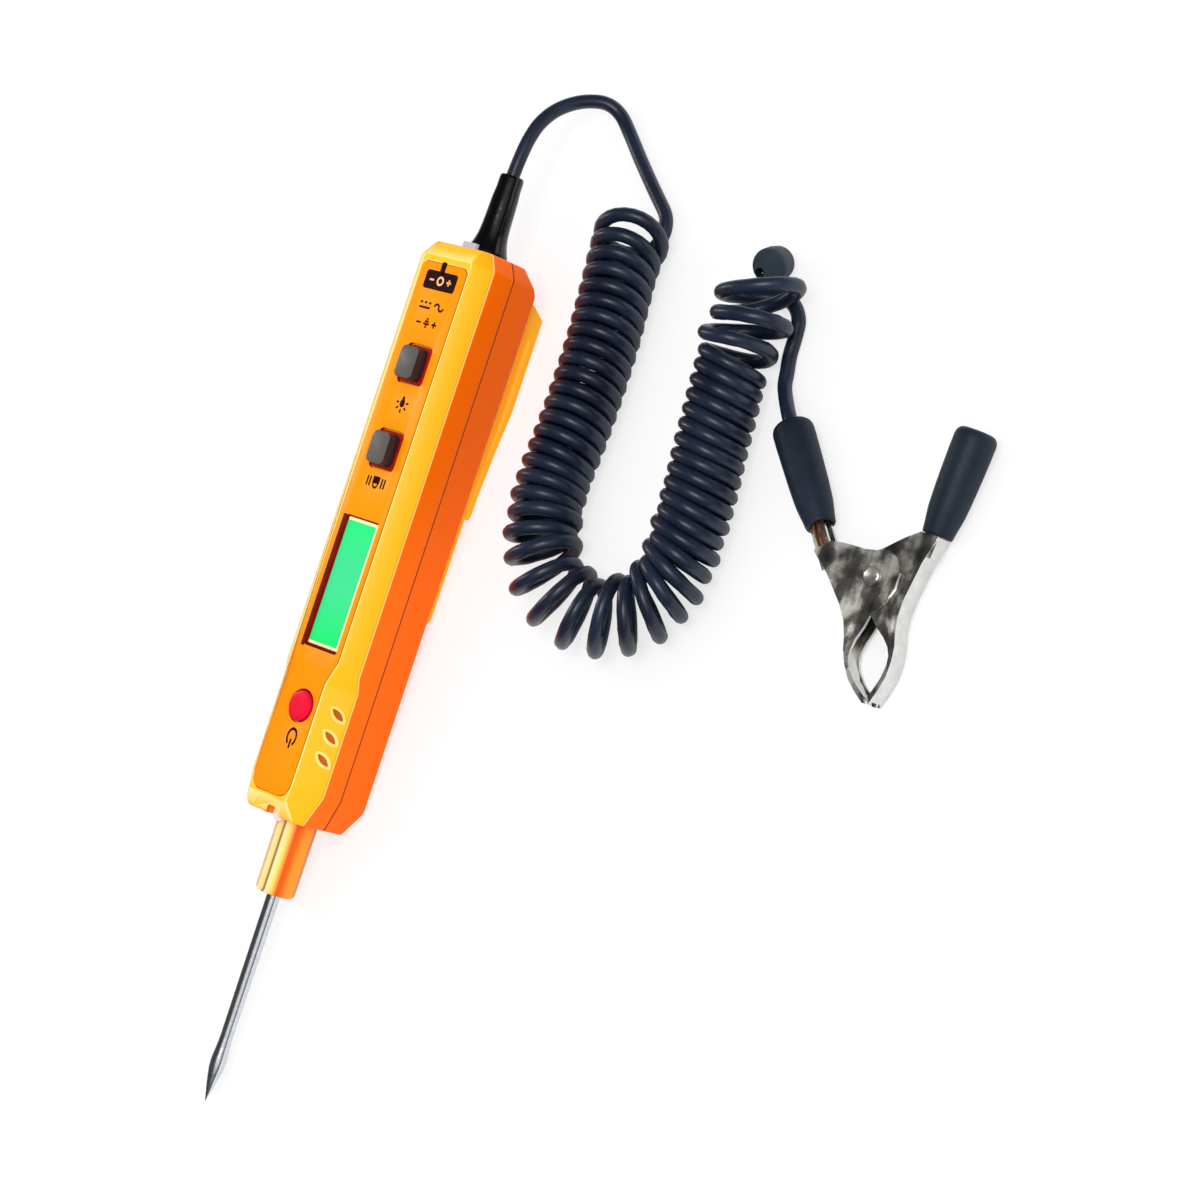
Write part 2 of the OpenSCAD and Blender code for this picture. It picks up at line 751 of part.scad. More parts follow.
module strain_relief() {
    l = relief_len;
    color("black") lay_down() {
        along_y(case_len, 0) rotate_extrude() polygon([
            [0, eps], [5.2, eps], [5.2, 0.9], [4.7, 2.2], [4.1, 4], [3.7, 6.2], [3.5, 9],
            [3.35, l - 6], [3.1, l - 3.2], [3.1, l - 0.8], [relief_tip_r, l], [0, l]
        ]);
        along_y(case_len - 5.6, 0) cylinder(h = 5.7, r = 4.4);
        along_y(case_len - 5.6, 0) cylinder(h = 1.9, r = 5);
    }
}

module relief_key() {
    color("lightgray") lay_down() translate([-4.2, case_len + eps, 3.4]) difference() {
        cube([4.6, 1.7, 3]);
        translate([4.2, 0, -3.4]) rotate([-90, 0, 0]) translate([0, 0, -1]) cylinder(h = 5, r = 5.25);
    }
}

module earth_wire() {
    route = [
        [1.5, case_len - 6.1, 0], [3, 138.2, 0.8], [4.6, 135.6, 2.6], [5.2, 132.6, 4.6],
        [4.8, 130, 5.6], [3.6, 127.8, 5.42]
    ];
    color("black") lay_down() swept_tube(route, 0.8, 8, [1, 0, 0]);
}

module lead_start() { color("midnightblue") swept_tube(lead_start_route, lead_r, 8, [0, 0, 1]); }
module curly_cord() { color("midnightblue") swept_tube(coil_route, coil_z, 12, [0, 0, 1]); }
module lead_end() { color("midnightblue") swept_tube(lead_end_route, lead_r, 8, [0, 0, 1]); }

module cord_bead() {
    color("darkslategray") translate(bead_at) rotate([0, 0, bead_turn]) rotate([0, bead_lean, 0])
        translate([0, 0, -bead_len]) difference() {
            rotate_extrude() polygon([
                [0, 0], [bead_r - 0.8, 0], [bead_r - 0.3, 0.6], [bead_r - 0.3, 2.6],
                [bead_r, 3], [bead_r, bead_len - 0.4], [bead_r - 0.4, bead_len], [0, bead_len]
            ]);
            translate([0.3, -2.8, bead_len - 4]) cylinder(h = 6, r = 1.2);
        }
}

// Crocodile clip

module croc_place() {
    translate(croc_at) rotate([croc_tilt, 0, croc_turn]) children();
}

// One pressed half: two cheeks, the back that joins them and the channel in the sleeve.
// The front cheek lies outside the other half's, the rear cheek inside it.
module jaw_half(pin_gap) {
    inward = [sheet_t, 0.25];
    back = concat(
        back_edge,
        [for (i = [len(back_edge) - 1 : -1 : 0]) back_edge[i] + inward]
    );
    difference() {
        union() {
            for (z = [cheek_out - sheet_t, -cheek_in - sheet_t])
                translate([0, 0, z]) linear_extrude(height = sheet_t)
                    polygon(concat(back_edge, front_edge, lens_edge, jaw_tip));
            translate([0, 0, -cheek_in - sheet_t])
                linear_extrude(height = cheek_out + cheek_in + sheet_t) polygon(back);
            translate([handle_foot[0], handle_foot[1], 0]) rotate([0, 0, handle_turn])
                along_y(-4, 0) linear_extrude(height = tongue_len) difference() {
                    square(2 * tongue_half, center = true);
                    translate([sheet_t, 0])
                        square([2 * tongue_half, 2 * (tongue_half - sheet_t)], center = true);
                }
        }
        translate([0, jaw_len, -10]) cylinder(h = 20, r = pin_d / 2 + pin_gap);
    }
}

module clip_jaw_fixed() { color("silver") croc_place() jaw_half(0.01); }
module clip_jaw_moving() { color("gainsboro") croc_place() rotate([0, 180, 0]) jaw_half(0.05); }

module clip_pin() {
    color("gray") croc_place() translate([0, jaw_len, 0]) {
        cylinder(h = 2 * cheek_out, r = pin_d / 2, center = true);
        for (side = [0, 1])
            mirror([0, 0, side]) translate([0, 0, cheek_out + 0.02]) rotate_extrude() polygon([
                [0, -0.1], [pin_d / 2, -0.1], [pin_d / 2, 0], [2.4, 0], [2.2, 0.45], [1.4, 0.7],
                [0, 0.75]
            ]);
    }
}

module clip_spring() {
    wire_r = 0.35;
    coil_r = 2.3;
    rise = 1.7;
    coil = [for (p = helix(coil_r, 2, rise, 12)) p - [0, 0, rise / 2]];
    long_leg = [[-coil_r, 0, -rise / 2], [-6, 2, -rise / 2], [-11, 4, -rise / 2]];
    short_leg = [[coil_r, 0, rise / 2], [5, 1.4, rise / 2], [7.9, 2.9, rise / 2]];
    color("dimgray") croc_place() translate([0, jaw_len, 0]) {
        swept_tube(coil, wire_r, 6, [0, 0, 1]);
        swept_tube(short_leg, wire_r, 6, [0, 0, 1]);
        swept_tube(long_leg, wire_r, 6, [0, 0, 1]);
    }
}

// Places drawings on a handle, z = slip along it
module on_handle(slip) {
    translate([handle_foot[0], handle_foot[1], 0]) rotate([0, 0, handle_turn])
        rotate([-90, 0, 0]) translate([0, 0, slip]) children();
}

module sleeve(l, open_r) {
    r = sleeve_top_r;
    difference() {
        rotate_extrude() polygon([
            [sleeve_bore_r, 0], [sleeve_foot_r - 0.25, 0], [sleeve_foot_r, 0.4],
            [sleeve_low_r, 5.5], [r - 0.2, 13], [r, l - 4], [r - 0.2, l - 1.9],
            [r - 0.9, l - 0.7], [r - 2, l], [0, l], [0, l - 2.4], [sleeve_bore_r, l - 2.4]
        ]);
        if (open_r > 0) translate([0, 0, l - 5]) cylinder(h = 8, r = open_r);
    }
}

module sleeve_fixed() {
    color("midnightblue") croc_place() on_handle(lead_sleeve_slip)
        sleeve(sleeve_len, lead_r + 0.02);
}

module sleeve_moving() {
    color("midnightblue") croc_place() rotate([0, 180, 0]) on_handle(blind_sleeve_slip)
        sleeve(blind_sleeve_len, 0);
}

module wire_strands() {
    color("peru") croc_place() on_handle(1.6)
        for (x = [-0.6, 0.6])
            translate([x, -tongue_half - 0.33, 0]) cylinder(h = 8, r = 0.32, $fn = 16);
}

front_shell();
rear_shell();
face_panel();
nozzle();
probe_needle();
needle_contact();
torch_led();
lcd_window();
lcd_glass();
backlight();
zebra_strip();
circuit_board();
meter_chip();
light_key();
hold_key();
power_key();
light_switch();
hold_switch();
power_switch();
buzzer();
battery_1();
battery_2();
battery_plate();
battery_spring();
battery_door();
door_screw();
case_screws();
strain_relief();
relief_key();
earth_wire();
lead_start();
curly_cord();
cord_bead();
lead_end();
clip_jaw_fixed();
clip_jaw_moving();
clip_pin();
clip_spring();
sleeve_fixed();
sleeve_moving();
wire_strands();
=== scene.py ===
from math import asin, atan, atan2, cos, degrees, pi, radians, sin

import bmesh
import bpy
from mathutils import Matrix, Vector
from mathutils.bvhtree import BVHTree


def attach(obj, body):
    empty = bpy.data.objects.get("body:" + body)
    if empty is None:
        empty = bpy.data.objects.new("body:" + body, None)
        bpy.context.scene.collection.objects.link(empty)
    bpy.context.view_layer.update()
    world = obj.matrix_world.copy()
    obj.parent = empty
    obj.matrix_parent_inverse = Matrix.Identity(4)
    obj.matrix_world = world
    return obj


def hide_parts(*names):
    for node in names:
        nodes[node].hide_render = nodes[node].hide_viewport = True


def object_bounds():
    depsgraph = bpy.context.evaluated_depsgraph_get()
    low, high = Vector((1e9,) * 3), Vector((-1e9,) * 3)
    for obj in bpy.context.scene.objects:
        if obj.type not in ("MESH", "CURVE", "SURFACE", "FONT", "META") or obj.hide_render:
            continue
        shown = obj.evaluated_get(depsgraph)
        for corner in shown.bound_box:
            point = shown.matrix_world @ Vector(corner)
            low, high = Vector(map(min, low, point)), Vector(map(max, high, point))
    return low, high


# %% [markdown]
# # A voltage tester probe with a curly earth lead
# The tester is an orange two-shell case with a needle in its nose. A curly lead leaves its other
# end and carries a small crocodile clip. This lesson dresses the packed solid model, piece by piece.
# The solids give every place and size, so the scene starts by loading them and keeping their box.

# %% Load the solid model
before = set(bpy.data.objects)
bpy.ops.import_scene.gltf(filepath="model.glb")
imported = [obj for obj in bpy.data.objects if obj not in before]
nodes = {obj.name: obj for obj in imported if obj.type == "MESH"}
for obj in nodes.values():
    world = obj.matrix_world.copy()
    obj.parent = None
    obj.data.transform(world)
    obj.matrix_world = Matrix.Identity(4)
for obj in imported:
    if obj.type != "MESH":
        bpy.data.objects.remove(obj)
cad_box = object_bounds()
print("solids loaded:", len(nodes), "box", [tuple(round(v, 4) for v in corner) for corner in cad_box])

# %% [markdown]
# ## Frames of reference
# Lengths below are in millimetres, as on a drawing, and one matrix turns them into metres. The case
# leans on its pocket clip, so it has a frame of its own, and so has the crocodile clip. A piece drawn
# straight in its own frame and moved once at the end is far easier to think about than a tilted one.

# %% Frames of the case and of the crocodile clip
MM = 0.001
TO_METRES = Matrix.Scale(MM, 4)
CASE_LEN, HALF_W, FRONT, REAR = 146, 12, 11.5, -10.2
BACK_START_Y = 8.2
POCKET_CLIP_Y, POCKET_CLIP_DEPTH = 112, 16
NEEDLE_TIP_Y = -72.5
RELIEF_TIP_Y, RELIEF_TIP_R = 166.7, 2.8
REST_ANGLE = atan((POCKET_CLIP_DEPTH + REAR) / (POCKET_CLIP_Y - BACK_START_Y))
REST_LIFT = -REAR * cos(REST_ANGLE) - BACK_START_Y * sin(REST_ANGLE)
MID_Y = ((NEEDLE_TIP_Y + RELIEF_TIP_Y) * cos(REST_ANGLE) + RELIEF_TIP_R * sin(REST_ANGLE)) / 2


def moved(x, y, z):
    return Matrix.Translation((x, y, z))


def turned(angle, axis):
    """A turn round one axis, in degrees."""
    return Matrix.Rotation(radians(angle), 4, axis)


CASE = TO_METRES @ moved(0, -MID_Y, REST_LIFT) @ Matrix.Rotation(REST_ANGLE, 4, "X")
CROC = TO_METRES @ moved(146.9, 24.3, 3) @ turned(18.9, "Z") @ turned(1.9, "X")
CROC_MOVING = CROC @ turned(180, "Y")
ALONG_CASE = CASE @ turned(-90, "X")
print("case leans by", round(degrees(REST_ANGLE), 2), "degrees, mid point at", round(MID_Y, 2), "mm")

# %% [markdown]
# ## Camera
# The photograph looks down on the table from the right, with a long lens. The camera's three axes
# were fitted to edges and tips of the tester that can be told on both the drawing and the photograph.

# %% Camera at the photograph's angle
LENS, SENSOR = 96, 36
CAMERA_PLACE = Vector((564.77, -8.11, 561.86))
CAMERA_RIGHT = Vector((0.7073, 0.3501, -0.61413)).normalized()
CAMERA_BACK = Vector((0.66828, -0.0479, 0.74236)).normalized()


def add_object(name, data):
    made = bpy.data.objects.new(name, data)
    bpy.context.scene.collection.objects.link(made)
    return made


camera_data = bpy.data.cameras.new("photo_camera")
camera_data.sensor_width = SENSOR
camera_data.lens = LENS
camera_data.clip_start, camera_data.clip_end = 0.05, 20
camera = add_object("photo_camera", camera_data)
CAMERA_UP = CAMERA_BACK.cross(CAMERA_RIGHT).normalized()
CAMERA_RIGHT = CAMERA_UP.cross(CAMERA_BACK)
axes = Matrix((CAMERA_RIGHT, CAMERA_UP, CAMERA_BACK)).transposed().to_4x4()
camera.matrix_world = Matrix.Translation(CAMERA_PLACE * MM) @ axes
bpy.context.scene.camera = camera
print("camera stands", round(camera.location.length, 3), "m from the middle of the object")

# %% [markdown]
# ## Finishes
# Every finish is a small node tree: a clean base shader, a fine noise that shifts the colour a
# little, another that changes the gloss, and a bump at the scale of the moulded or drawn surface.
# One function builds that tree, so that each finish below is only a handful of numbers.

# %% Colours
def srgb(code):
    """A colour written as on a paint card, such as FFA010, in the renderer's own linear numbers."""
    channels = [int(code[i:i + 2], 16) / 255 for i in (0, 2, 4)]
    return tuple(c / 12.92 if c <= 0.04045 else ((c + 0.055) / 1.055) ** 2.4 for c in channels) + (1,)


def between(first, second, share):
    """A colour part of the way from one paint-card colour to another."""
    return tuple(a + (b - a) * share for a, b in zip(srgb(first), srgb(second)))


print("orange FFA010 is", [round(c, 3) for c in srgb("FFA010")], "to the renderer")

# %% A wrapper for node trees
class Tree:
    """A thin wrapper that adds and joins the nodes of one finish, or of the room."""

    def __init__(self, owner):
        owner.use_nodes = True
        self.owner = owner
        self.nodes, self.links = owner.node_tree.nodes, owner.node_tree.links
        self.shader = self.nodes.get("Principled BSDF")
        self.place = self.add("TexCoord").outputs["Object"]

    def feed(self, socket, value):
        """Joins another node's output to a socket, or sets the socket's own value."""
        if isinstance(value, bpy.types.NodeSocket):
            self.links.new(value, socket)
        else:
            socket.default_value = value

    def add(self, kind, *inputs, **settings):
        """Adds a node and feeds its inputs, each given as (socket, value)."""
        node = self.nodes.new("ShaderNode" + kind)
        for key, value in settings.items():
            setattr(node, key, value)
        for socket, value in inputs:
            self.feed(node.inputs[socket], value)
        return node

    def set(self, **values):
        """Feeds the shader's own sockets."""
        for socket, value in values.items():
            self.feed(self.shader.inputs[socket.replace("_", " ")], value)

    def noise(self, scale, detail=3, stretch=(1, 1, 1), angle=0):
        turn = (0, 0, angle)
        mapping = self.add("Mapping", ("Vector", self.place), ("Scale", stretch), ("Rotation", turn))
        pattern = self.add("TexNoise", ("Vector", mapping.outputs["Vector"]), ("Scale", scale),
                           ("Detail", detail))
        return pattern.outputs["Fac"]

    def ramp(self, factor, *stops):
        """A colour ramp; each stop is a position and a colour, as a paint-card code or as numbers."""
        ramp = self.add("ValToRGB", ("Fac", factor))
        points = ramp.color_ramp.elements
        while len(points) < len(stops):
            points.new(0.5)
        for point, (position, colour) in zip(points, stops):
            point.position = position
            point.color = srgb(colour) if isinstance(colour, str) else colour
        return ramp.outputs["Color"]

    def span(self, factor, low, high, start=0.3, end=0.7):
        """Stretches the part of a factor from start to end over low to high."""
        return self.add("MapRange", ("Value", factor), ("From Min", start), ("From Max", end),
                        ("To Min", low), ("To Max", high)).outputs["Result"]

    def scaled_sum(self, first, factor, second):
        """first times factor, plus second."""
        node = self.add("Math", (0, first), (1, factor), (2, second), operation="MULTIPLY_ADD")
        return node.outputs["Value"]

    def facing(self, direction, normal=None):
        """How far a surface looks in one direction, from -1 to 1."""
        normal = normal or self.add("NewGeometry").outputs["Normal"]
        node = self.add("VectorMath", (0, normal), (1, direction), operation="DOT_PRODUCT")
        return node.outputs["Value"]

    def grain(self, height, depth, rough):
        """Lets one pattern make both the fine relief and the changes in gloss."""
        bump = self.add("Bump", ("Height", height), ("Distance", depth))
        self.set(Normal=bump.outputs["Normal"], Roughness=self.span(height, *rough))


def new_finish(name):
    return Tree(bpy.data.materials.new(name))


print("a finish can be made from:", [name for name in vars(Tree) if name[0] != "_"])

# %% One function for most finishes
def finish(name, colour, other, rough=(0.4, 0.5), metal=0.0, grain=900, depth=0.00002,
           patches=60, stretch=(1, 1, 1), **numbers):
    """A finish of two close colours in soft patches, with a gloss that varies and a fine grain."""
    tree = new_finish(name)
    tree.grain(tree.noise(grain, 4, stretch), depth, rough)
    tree.set(Base_Color=tree.ramp(tree.noise(patches, 4, stretch), (0.35, colour), (0.65, other)),
             Metallic=metal, **numbers)
    return tree.owner


print("finish helpers are ready")

# %% [markdown]
# ## The lead's plastic
# The lead, its sleeves and the curly part are soft blue-black PVC with a dull sheen. The real cord
# shows a broad grey highlight along the top of each turn, which a middling roughness gives. The bump
# is very fine: drawn cable has a slight orange peel and no grain.

# %% Finishes of the lead
cord_pvc = finish("lead_pvc", "10172A", "1A263A", rough=(0.3, 0.4), grain=1400, depth=0.00001,
                  patches=90, Specular_IOR_Level=0.45)
sleeve_pvc = finish("sleeve_pvc", "121B28", "192534", rough=(0.45, 0.58), grain=1100,
                    patches=70, Specular_IOR_Level=0.25)
print("finishes of the lead:", cord_pvc.name, sleeve_pvc.name)

# %% [markdown]
# ## The lead: one cord from the case to the crocodile clip
# The lead is the one soft piece, so it is settled first: 3.5 mm PVC cable, straight out of the
# strain relief, over and down to the table, into a left-handed coil of 18 mm, round one bend and
# back, and out to the clip. A curve with a round bevel suits it, because its centre line is the
# length of real cable. The coil is a loop in code: each turn is placed on the coil's middle line by
# a table, which says where along the line the turn sits, how wide it is and how it leans. Turns that
# crowd inside the bend step in and out by turns, as they do on a real lead. The last loops stand
# higher than the rest, because the lead to the clip passes under them.

# %% Helpers for smooth lines
def smooth_through(points, steps):
    """Points on a smooth line that passes through every given point (numbers of any dimension)."""
    ends = [[2 * a - b for a, b in zip(points[0], points[1])]]
    tails = [[2 * a - b for a, b in zip(points[-1], points[-2])]]
    line = ends + [list(p) for p in points] + tails
    found = []
    for before, start, end, after in zip(line, line[1:], line[2:], line[3:]):
        for step in range(steps):
            t = step / steps
            found.append([
                b + 0.5 * t * ((c - a) + t * ((2 * a - 5 * b + 4 * c - d) + t * (3 * (b - c) + d - a)))
                for a, b, c, d in zip(before, start, end, after)
            ])
    found.append(list(points[-1]))
    return found


def line_length(points):
    return sum((Vector(b) - Vector(a)).length for a, b in zip(points, points[1:]))


print("line helpers are ready")

# %% The coil's middle line
coil_route = [
    (34.2, 116.3), (35.6, 107.5), (37.2, 97.5), (38.6, 87.7), (39.4, 77.7), (39.8, 67.8), (39.8, 59.8),
    (39.6, 51.8), (40.7, 43.7), (44.0, 35.4), (50.2, 28.9), (57.8, 24.9), (66.8, 24.3), (75.8, 26.8),
    (82.0, 32.6), (85.0, 40.8), (85.2, 50), (84.3, 59), (82.8, 67.9), (81.6, 76.9), (80.4, 85.8),
    (79.8, 93.0), (80.8, 100.2), (80.0, 106), (79.6, 113),
]
middle_line = smooth_through(coil_route, 16)
run_so_far = [0.0]
for here, there in zip(middle_line, middle_line[1:]):
    run_so_far.append(run_so_far[-1] + (Vector(there) - Vector(here)).length)


def on_middle_line(run):
    """The point of the middle line at that distance from its start, and its direction there."""
    i = 1
    while run_so_far[i] < run and i < len(run_so_far) - 1:
        i += 1
    share = (run - run_so_far[i - 1]) / (run_so_far[i] - run_so_far[i - 1])
    a, b = Vector(middle_line[i - 1]), Vector(middle_line[i])
    ahead = Vector(middle_line[min(i + 3, len(middle_line) - 1)]) - Vector(middle_line[max(i - 4, 0)])
    return (a + (b - a) * share).to_3d(), ahead.normalized().to_3d()


print("the coil's middle line is", round(run_so_far[-1]), "mm long")

# %% The coil's turns
LEAD_D, COIL_Z, TURN_R = 3.5, 9, 7.25
POINTS_PER_TURN = 24
BEND_TURN, BEND_REACH, STAGGER = 25.75, 9, 0.8
LIFTED_TURN, LIFT = 45.5, 3.7
# turn number, place along the middle line, half width, outward shift, lean of the top, yaw in degrees
turns_table = [
    (0, 2.2, 8.6, -1.0, 2.6, -12), (0.5, 3.6, 8.6, -1.0, 3.0, -12), (1.0, 5.4, 8.2, -0.6, 2.8, -11),
    (1.59, 8.1, 7.6, -0.3, 2.4, -10), (2.59, 12, 7.3, 0, 2.0, -9), (3.59, 15.8, 7.25, 0, 1.7, -8),
    (4.59, 19.7, 7.25, 0, 1.5, -7), (8.6, 34.5, 7.25, 0, 1.4, -7), (12.6, 49.2, 7.25, 0, 1.3, -7),
    (16.6, 63.8, 7.3, 0, 0.9, -6), (19.25, 73.6, 7.5, 0.1, 0.2, -5),
    (20.25, 77.6, 7.7, 0.3, -0.5, -4), (21.25, 82.0, 7.9, 0.5, -1.5, -2),
    (22.25, 88.0, 8.1, 0.7, -2.6, 0), (23.25, 95.8, 8.2, 0.8, -3.4, 2),
    (24.25, 103.8, 8.2, 0.8, -3.8, 3), (25.25, 111.8, 8.1, 0.9, -3.6, 4),
    (26.25, 118.8, 7.8, 1.1, -3.0, 5), (27.25, 124.8, 7.5, 1.2, -2.2, 7),
    (28.25, 129.4, 7.4, 1.1, -1.4, 8), (29.25, 133.6, 7.3, 0.8, -0.8, 9.5),
    (30.25, 137.4, 7.25, 0.4, -0.3, 10.5), (31.25, 141.0, 7.25, 0.2, 0, 11.5),
    (32.25, 144.5, 7.25, 0, 0.2, 12.5), (36.6, 159.6, 7.25, 0, 0.3, 13),
    (41, 175.3, 7.25, 0, 0.3, 13), (43.5, 184.2, 7.25, 0, 0.4, 13),
    (44.25, 188.0, 7.9, 1.4, 1.2, -8), (44.75, 190.2, 8.3, 2.6, 1.6, -10),
    (45.25, 194.0, 9.0, 3.2, 2.0, -12), (45.75, 196.3, 9.3, 3.4, 2.0, -12),
    (46.25, 199.6, 9.8, 3.4, 2.0, -13), (46.75, 201.6, 9.5, 2.4, 1.6, -12),
    (47, 202.2, 9.2, 1.6, 1.2, -12),
]
coil_points = []
stations = smooth_through(turns_table, 40)
station = 0
for step in range(round(turns_table[-1][0] * POINTS_PER_TURN) + 1):
    turn_number = step / POINTS_PER_TURN
    while stations[station + 1][0] < turn_number and station < len(stations) - 2:
        station += 1
    low, high = stations[station], stations[station + 1]
    share = (turn_number - low[0]) / (high[0] - low[0])
    _, run, half_width, outward, lean, yaw = [a + (b - a) * share for a, b in zip(low, high)]
    centre, ahead = on_middle_line(run)
    left = Matrix.Rotation(-radians(yaw), 3, "Z") @ Vector((-ahead.y, ahead.x, 0))
    phase = -pi / 2 - 2 * pi * turn_number
    crowding = max(0, 1 - abs(turn_number - BEND_TURN) / BEND_REACH)
    outward += STAGGER * min(1, 2 * crowding) * sin(pi * (turn_number - 0.25))
    spot = centre - left * outward + left * half_width * cos(phase) - ahead * lean * sin(phase)
    from_lifted = min(0.5, max(0, abs(turn_number - LIFTED_TURN) - 1))
    lift = LIFT * (1 + cos(2 * pi * from_lifted)) / 2
    coil_points.append((spot.x, spot.y, COIL_Z + TURN_R * sin(phase) + lift))
print("coil:", turns_table[-1][0], "turns,", round(line_length(coil_points)), "mm of cable")

# %% From the case to the coil, and from the coil to the clip
FLOOR_Z = 1.75
relief_tip = (
    0,
    RELIEF_TIP_Y * cos(REST_ANGLE) - MID_Y,
    RELIEF_TIP_Y * sin(REST_ANGLE) + REST_LIFT,
)
HOOK, HOOK_R = (31.2, 117.3), 7
hook = [(HOOK[0] + HOOK_R * cos(radians(a)), HOOK[1] + HOOK_R * sin(radians(a)), FLOOR_Z)
        for a in (50, 30, 10, -10, -30, -50, -70)]
lead_start_route = [
    relief_tip, (0.2, 124, 19.1), (0.2, 129, 18.6), (0.3, 134, 17.2), (1.2, 138.5, 14.8),
    (3, 142, 11.8), (5.6, 144.4, 8.6), (8.6, 145.3, 5.6), (11.8, 143.8, 3.2), (16, 139.7, 1.9),
    (22, 134.2, FLOOR_Z), (29.0, 128.2, FLOOR_Z), (33.0, 124.9, FLOOR_Z),
] + hook
HANDLE_ANGLE = 22
HANDLE_FOOT = Vector((-13.95, 35.75, 0))
SLEEVE_LEN, SLEEVE_SLIP = 27, 7.1
handle_dir = Vector((-sin(radians(HANDLE_ANGLE)), cos(radians(HANDLE_ANGLE)), 0))
sleeve_top = (CROC @ (HANDLE_FOOT + handle_dir * (SLEEVE_SLIP + SLEEVE_LEN))) / MM
exit_dir = (CROC.to_3x3() @ handle_dir) / MM
lead_end_route = [
    (85.4, 106.9, 1.8), (88.0, 103.8, 1.75), (88.8, 99.6, 1.75), (89.2, 95.4, 1.75), (90.3, 91.4, 1.9),
    (91.9, 87.4, 2.5), tuple(sleeve_top + exit_dir * 2.6), tuple(sleeve_top - exit_dir * 1.2),
]
print("the lead's ends have", len(lead_start_route), "and", len(lead_end_route), "route points")

# %% The whole cord as one curve
coil_points = coil_points[2:]
approach = smooth_through(lead_start_route + [coil_points[0]], 4)[:-1]
departure = smooth_through([coil_points[-1]] + lead_end_route, 4)[1:]
cord_points = approach + [list(p) for p in coil_points] + departure

cord_curve = bpy.data.curves.new("earth_lead", "CURVE")
cord_curve.dimensions = "3D"
cord_curve.bevel_depth = LEAD_D / 2 * MM
cord_curve.bevel_resolution = 4
cord_curve.use_fill_caps = True
cord_curve.twist_mode = "MINIMUM"
strand = cord_curve.splines.new("POLY")
strand.points.add(len(cord_points) - 1)
for point, place in zip(strand.points, cord_points):
    point.co = (place[0] * MM, place[1] * MM, place[2] * MM, 1)
strand.use_smooth = True
earth_lead = add_object("earth_lead", cord_curve)
cord_curve.materials.append(cord_pvc)
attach(earth_lead, "tester")
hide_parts("lead_start", "curly_cord", "lead_end")

# %% [markdown]
# ## Helpers for modelled pieces
# Most pieces start as a flat outline that is extruded, or as a half profile that is spun round an
# axis, just as the real ones are moulded or turned. Edges are then rounded with the bevel operator,
# because no moulded or pressed edge is sharp, and it is the rounded edges that catch the light. One
# function ends every piece: it moves the shape to its place and gives it its finish and its body.

# %% Shapes from outlines and profiles
def outwards(bm):
    bmesh.ops.recalc_face_normals(bm, faces=bm.faces)
    return bm


def shift(bm, x=0, y=0, z=0):
    bmesh.ops.translate(bm, vec=(x, y, z), verts=bm.verts)
    return bm


def paint(faces, index):
    """Gives faces one of their piece's finishes, by its number in the list."""
    for face in faces:
        face.material_index = index


def merge_close(bm, distance=0.0005):
    bmesh.ops.remove_doubles(bm, verts=bm.verts, dist=distance)


def merge_flat(bm, angle):
    """Joins faces that lie within an angle of one plane, in degrees."""
    bmesh.ops.dissolve_limit(bm, angle_limit=radians(angle), verts=bm.verts, edges=bm.edges)


def extrude(bm, faces, vec=(0, 0, 0)):
    """Extrudes faces along a vector and returns the new corners."""
    made = bmesh.ops.extrude_face_region(bm, geom=faces)["geom"]
    corners = [g for g in made if isinstance(g, bmesh.types.BMVert)]
    bmesh.ops.translate(bm, vec=vec, verts=corners)
    return corners


def spun(profile, steps=64):
    """Turns a half profile of (radius, height) points round Z, like a lathe."""
    bm = bmesh.new()
    verts = [bm.verts.new((r, 0, z)) for r, z in profile]
    edges = [bm.edges.new(pair) for pair in zip(verts, verts[1:])]
    bmesh.ops.spin(bm, geom=verts + edges, cent=(0, 0, 0), axis=(0, 0, 1), angle=2 * pi,
                   steps=steps, use_merge=True)
    merge_close(bm)
    return outwards(bm)


def rod(radius, low, high, steps=24):
    return spun([(0, low), (radius, low), (radius, high), (0, high)], steps)


def slab(outline, low, high):
    """Extrudes an outline of (x, y) points from one height to another."""
    bm = bmesh.new()
    face = bm.faces.new([bm.verts.new((x, y, low)) for x, y in outline])
    extrude(bm, [face], (0, 0, high - low))
    return outwards(bm)


def rectangle(width, length, x, y):
    return [(x - width / 2, y - length / 2), (x + width / 2, y - length / 2),
            (x + width / 2, y + length / 2), (x - width / 2, y + length / 2)]


print("shape helpers are ready")

# %% Rounding edges
def round_edges(bm, width, segments=3, sharper_than=25, chosen=None, clamp=True):
    """Bevels the edges that are sharper than an angle, or only those that chosen() picks."""
    edges = [e for e in bm.edges if len(e.link_faces) == 2
             and e.calc_face_angle(0) > radians(sharper_than) and (chosen is None or chosen(e))]
    bmesh.ops.bevel(bm, geom=edges, offset=width, offset_type="OFFSET", segments=segments, profile=0.5,
                    affect="EDGES", clamp_overlap=clamp, material=-1)
    return len(edges)


def above(height):
    """Picks edges that lie above a height."""
    return lambda edge: all(v.co.z > height for v in edge.verts)


def standing(length):
    """Picks edges that rise by more than a length."""
    return lambda edge: abs(edge.verts[0].co.z - edge.verts[1].co.z) > length


print("rounding helpers are ready")

# %% Joining and placing
def add_to(bm, other):
    """Adds another bmesh's shape to this one and frees it."""
    mesh = bpy.data.meshes.new("part")
    other.to_mesh(mesh)
    other.free()
    bm.from_mesh(mesh)
    bpy.data.meshes.remove(mesh)


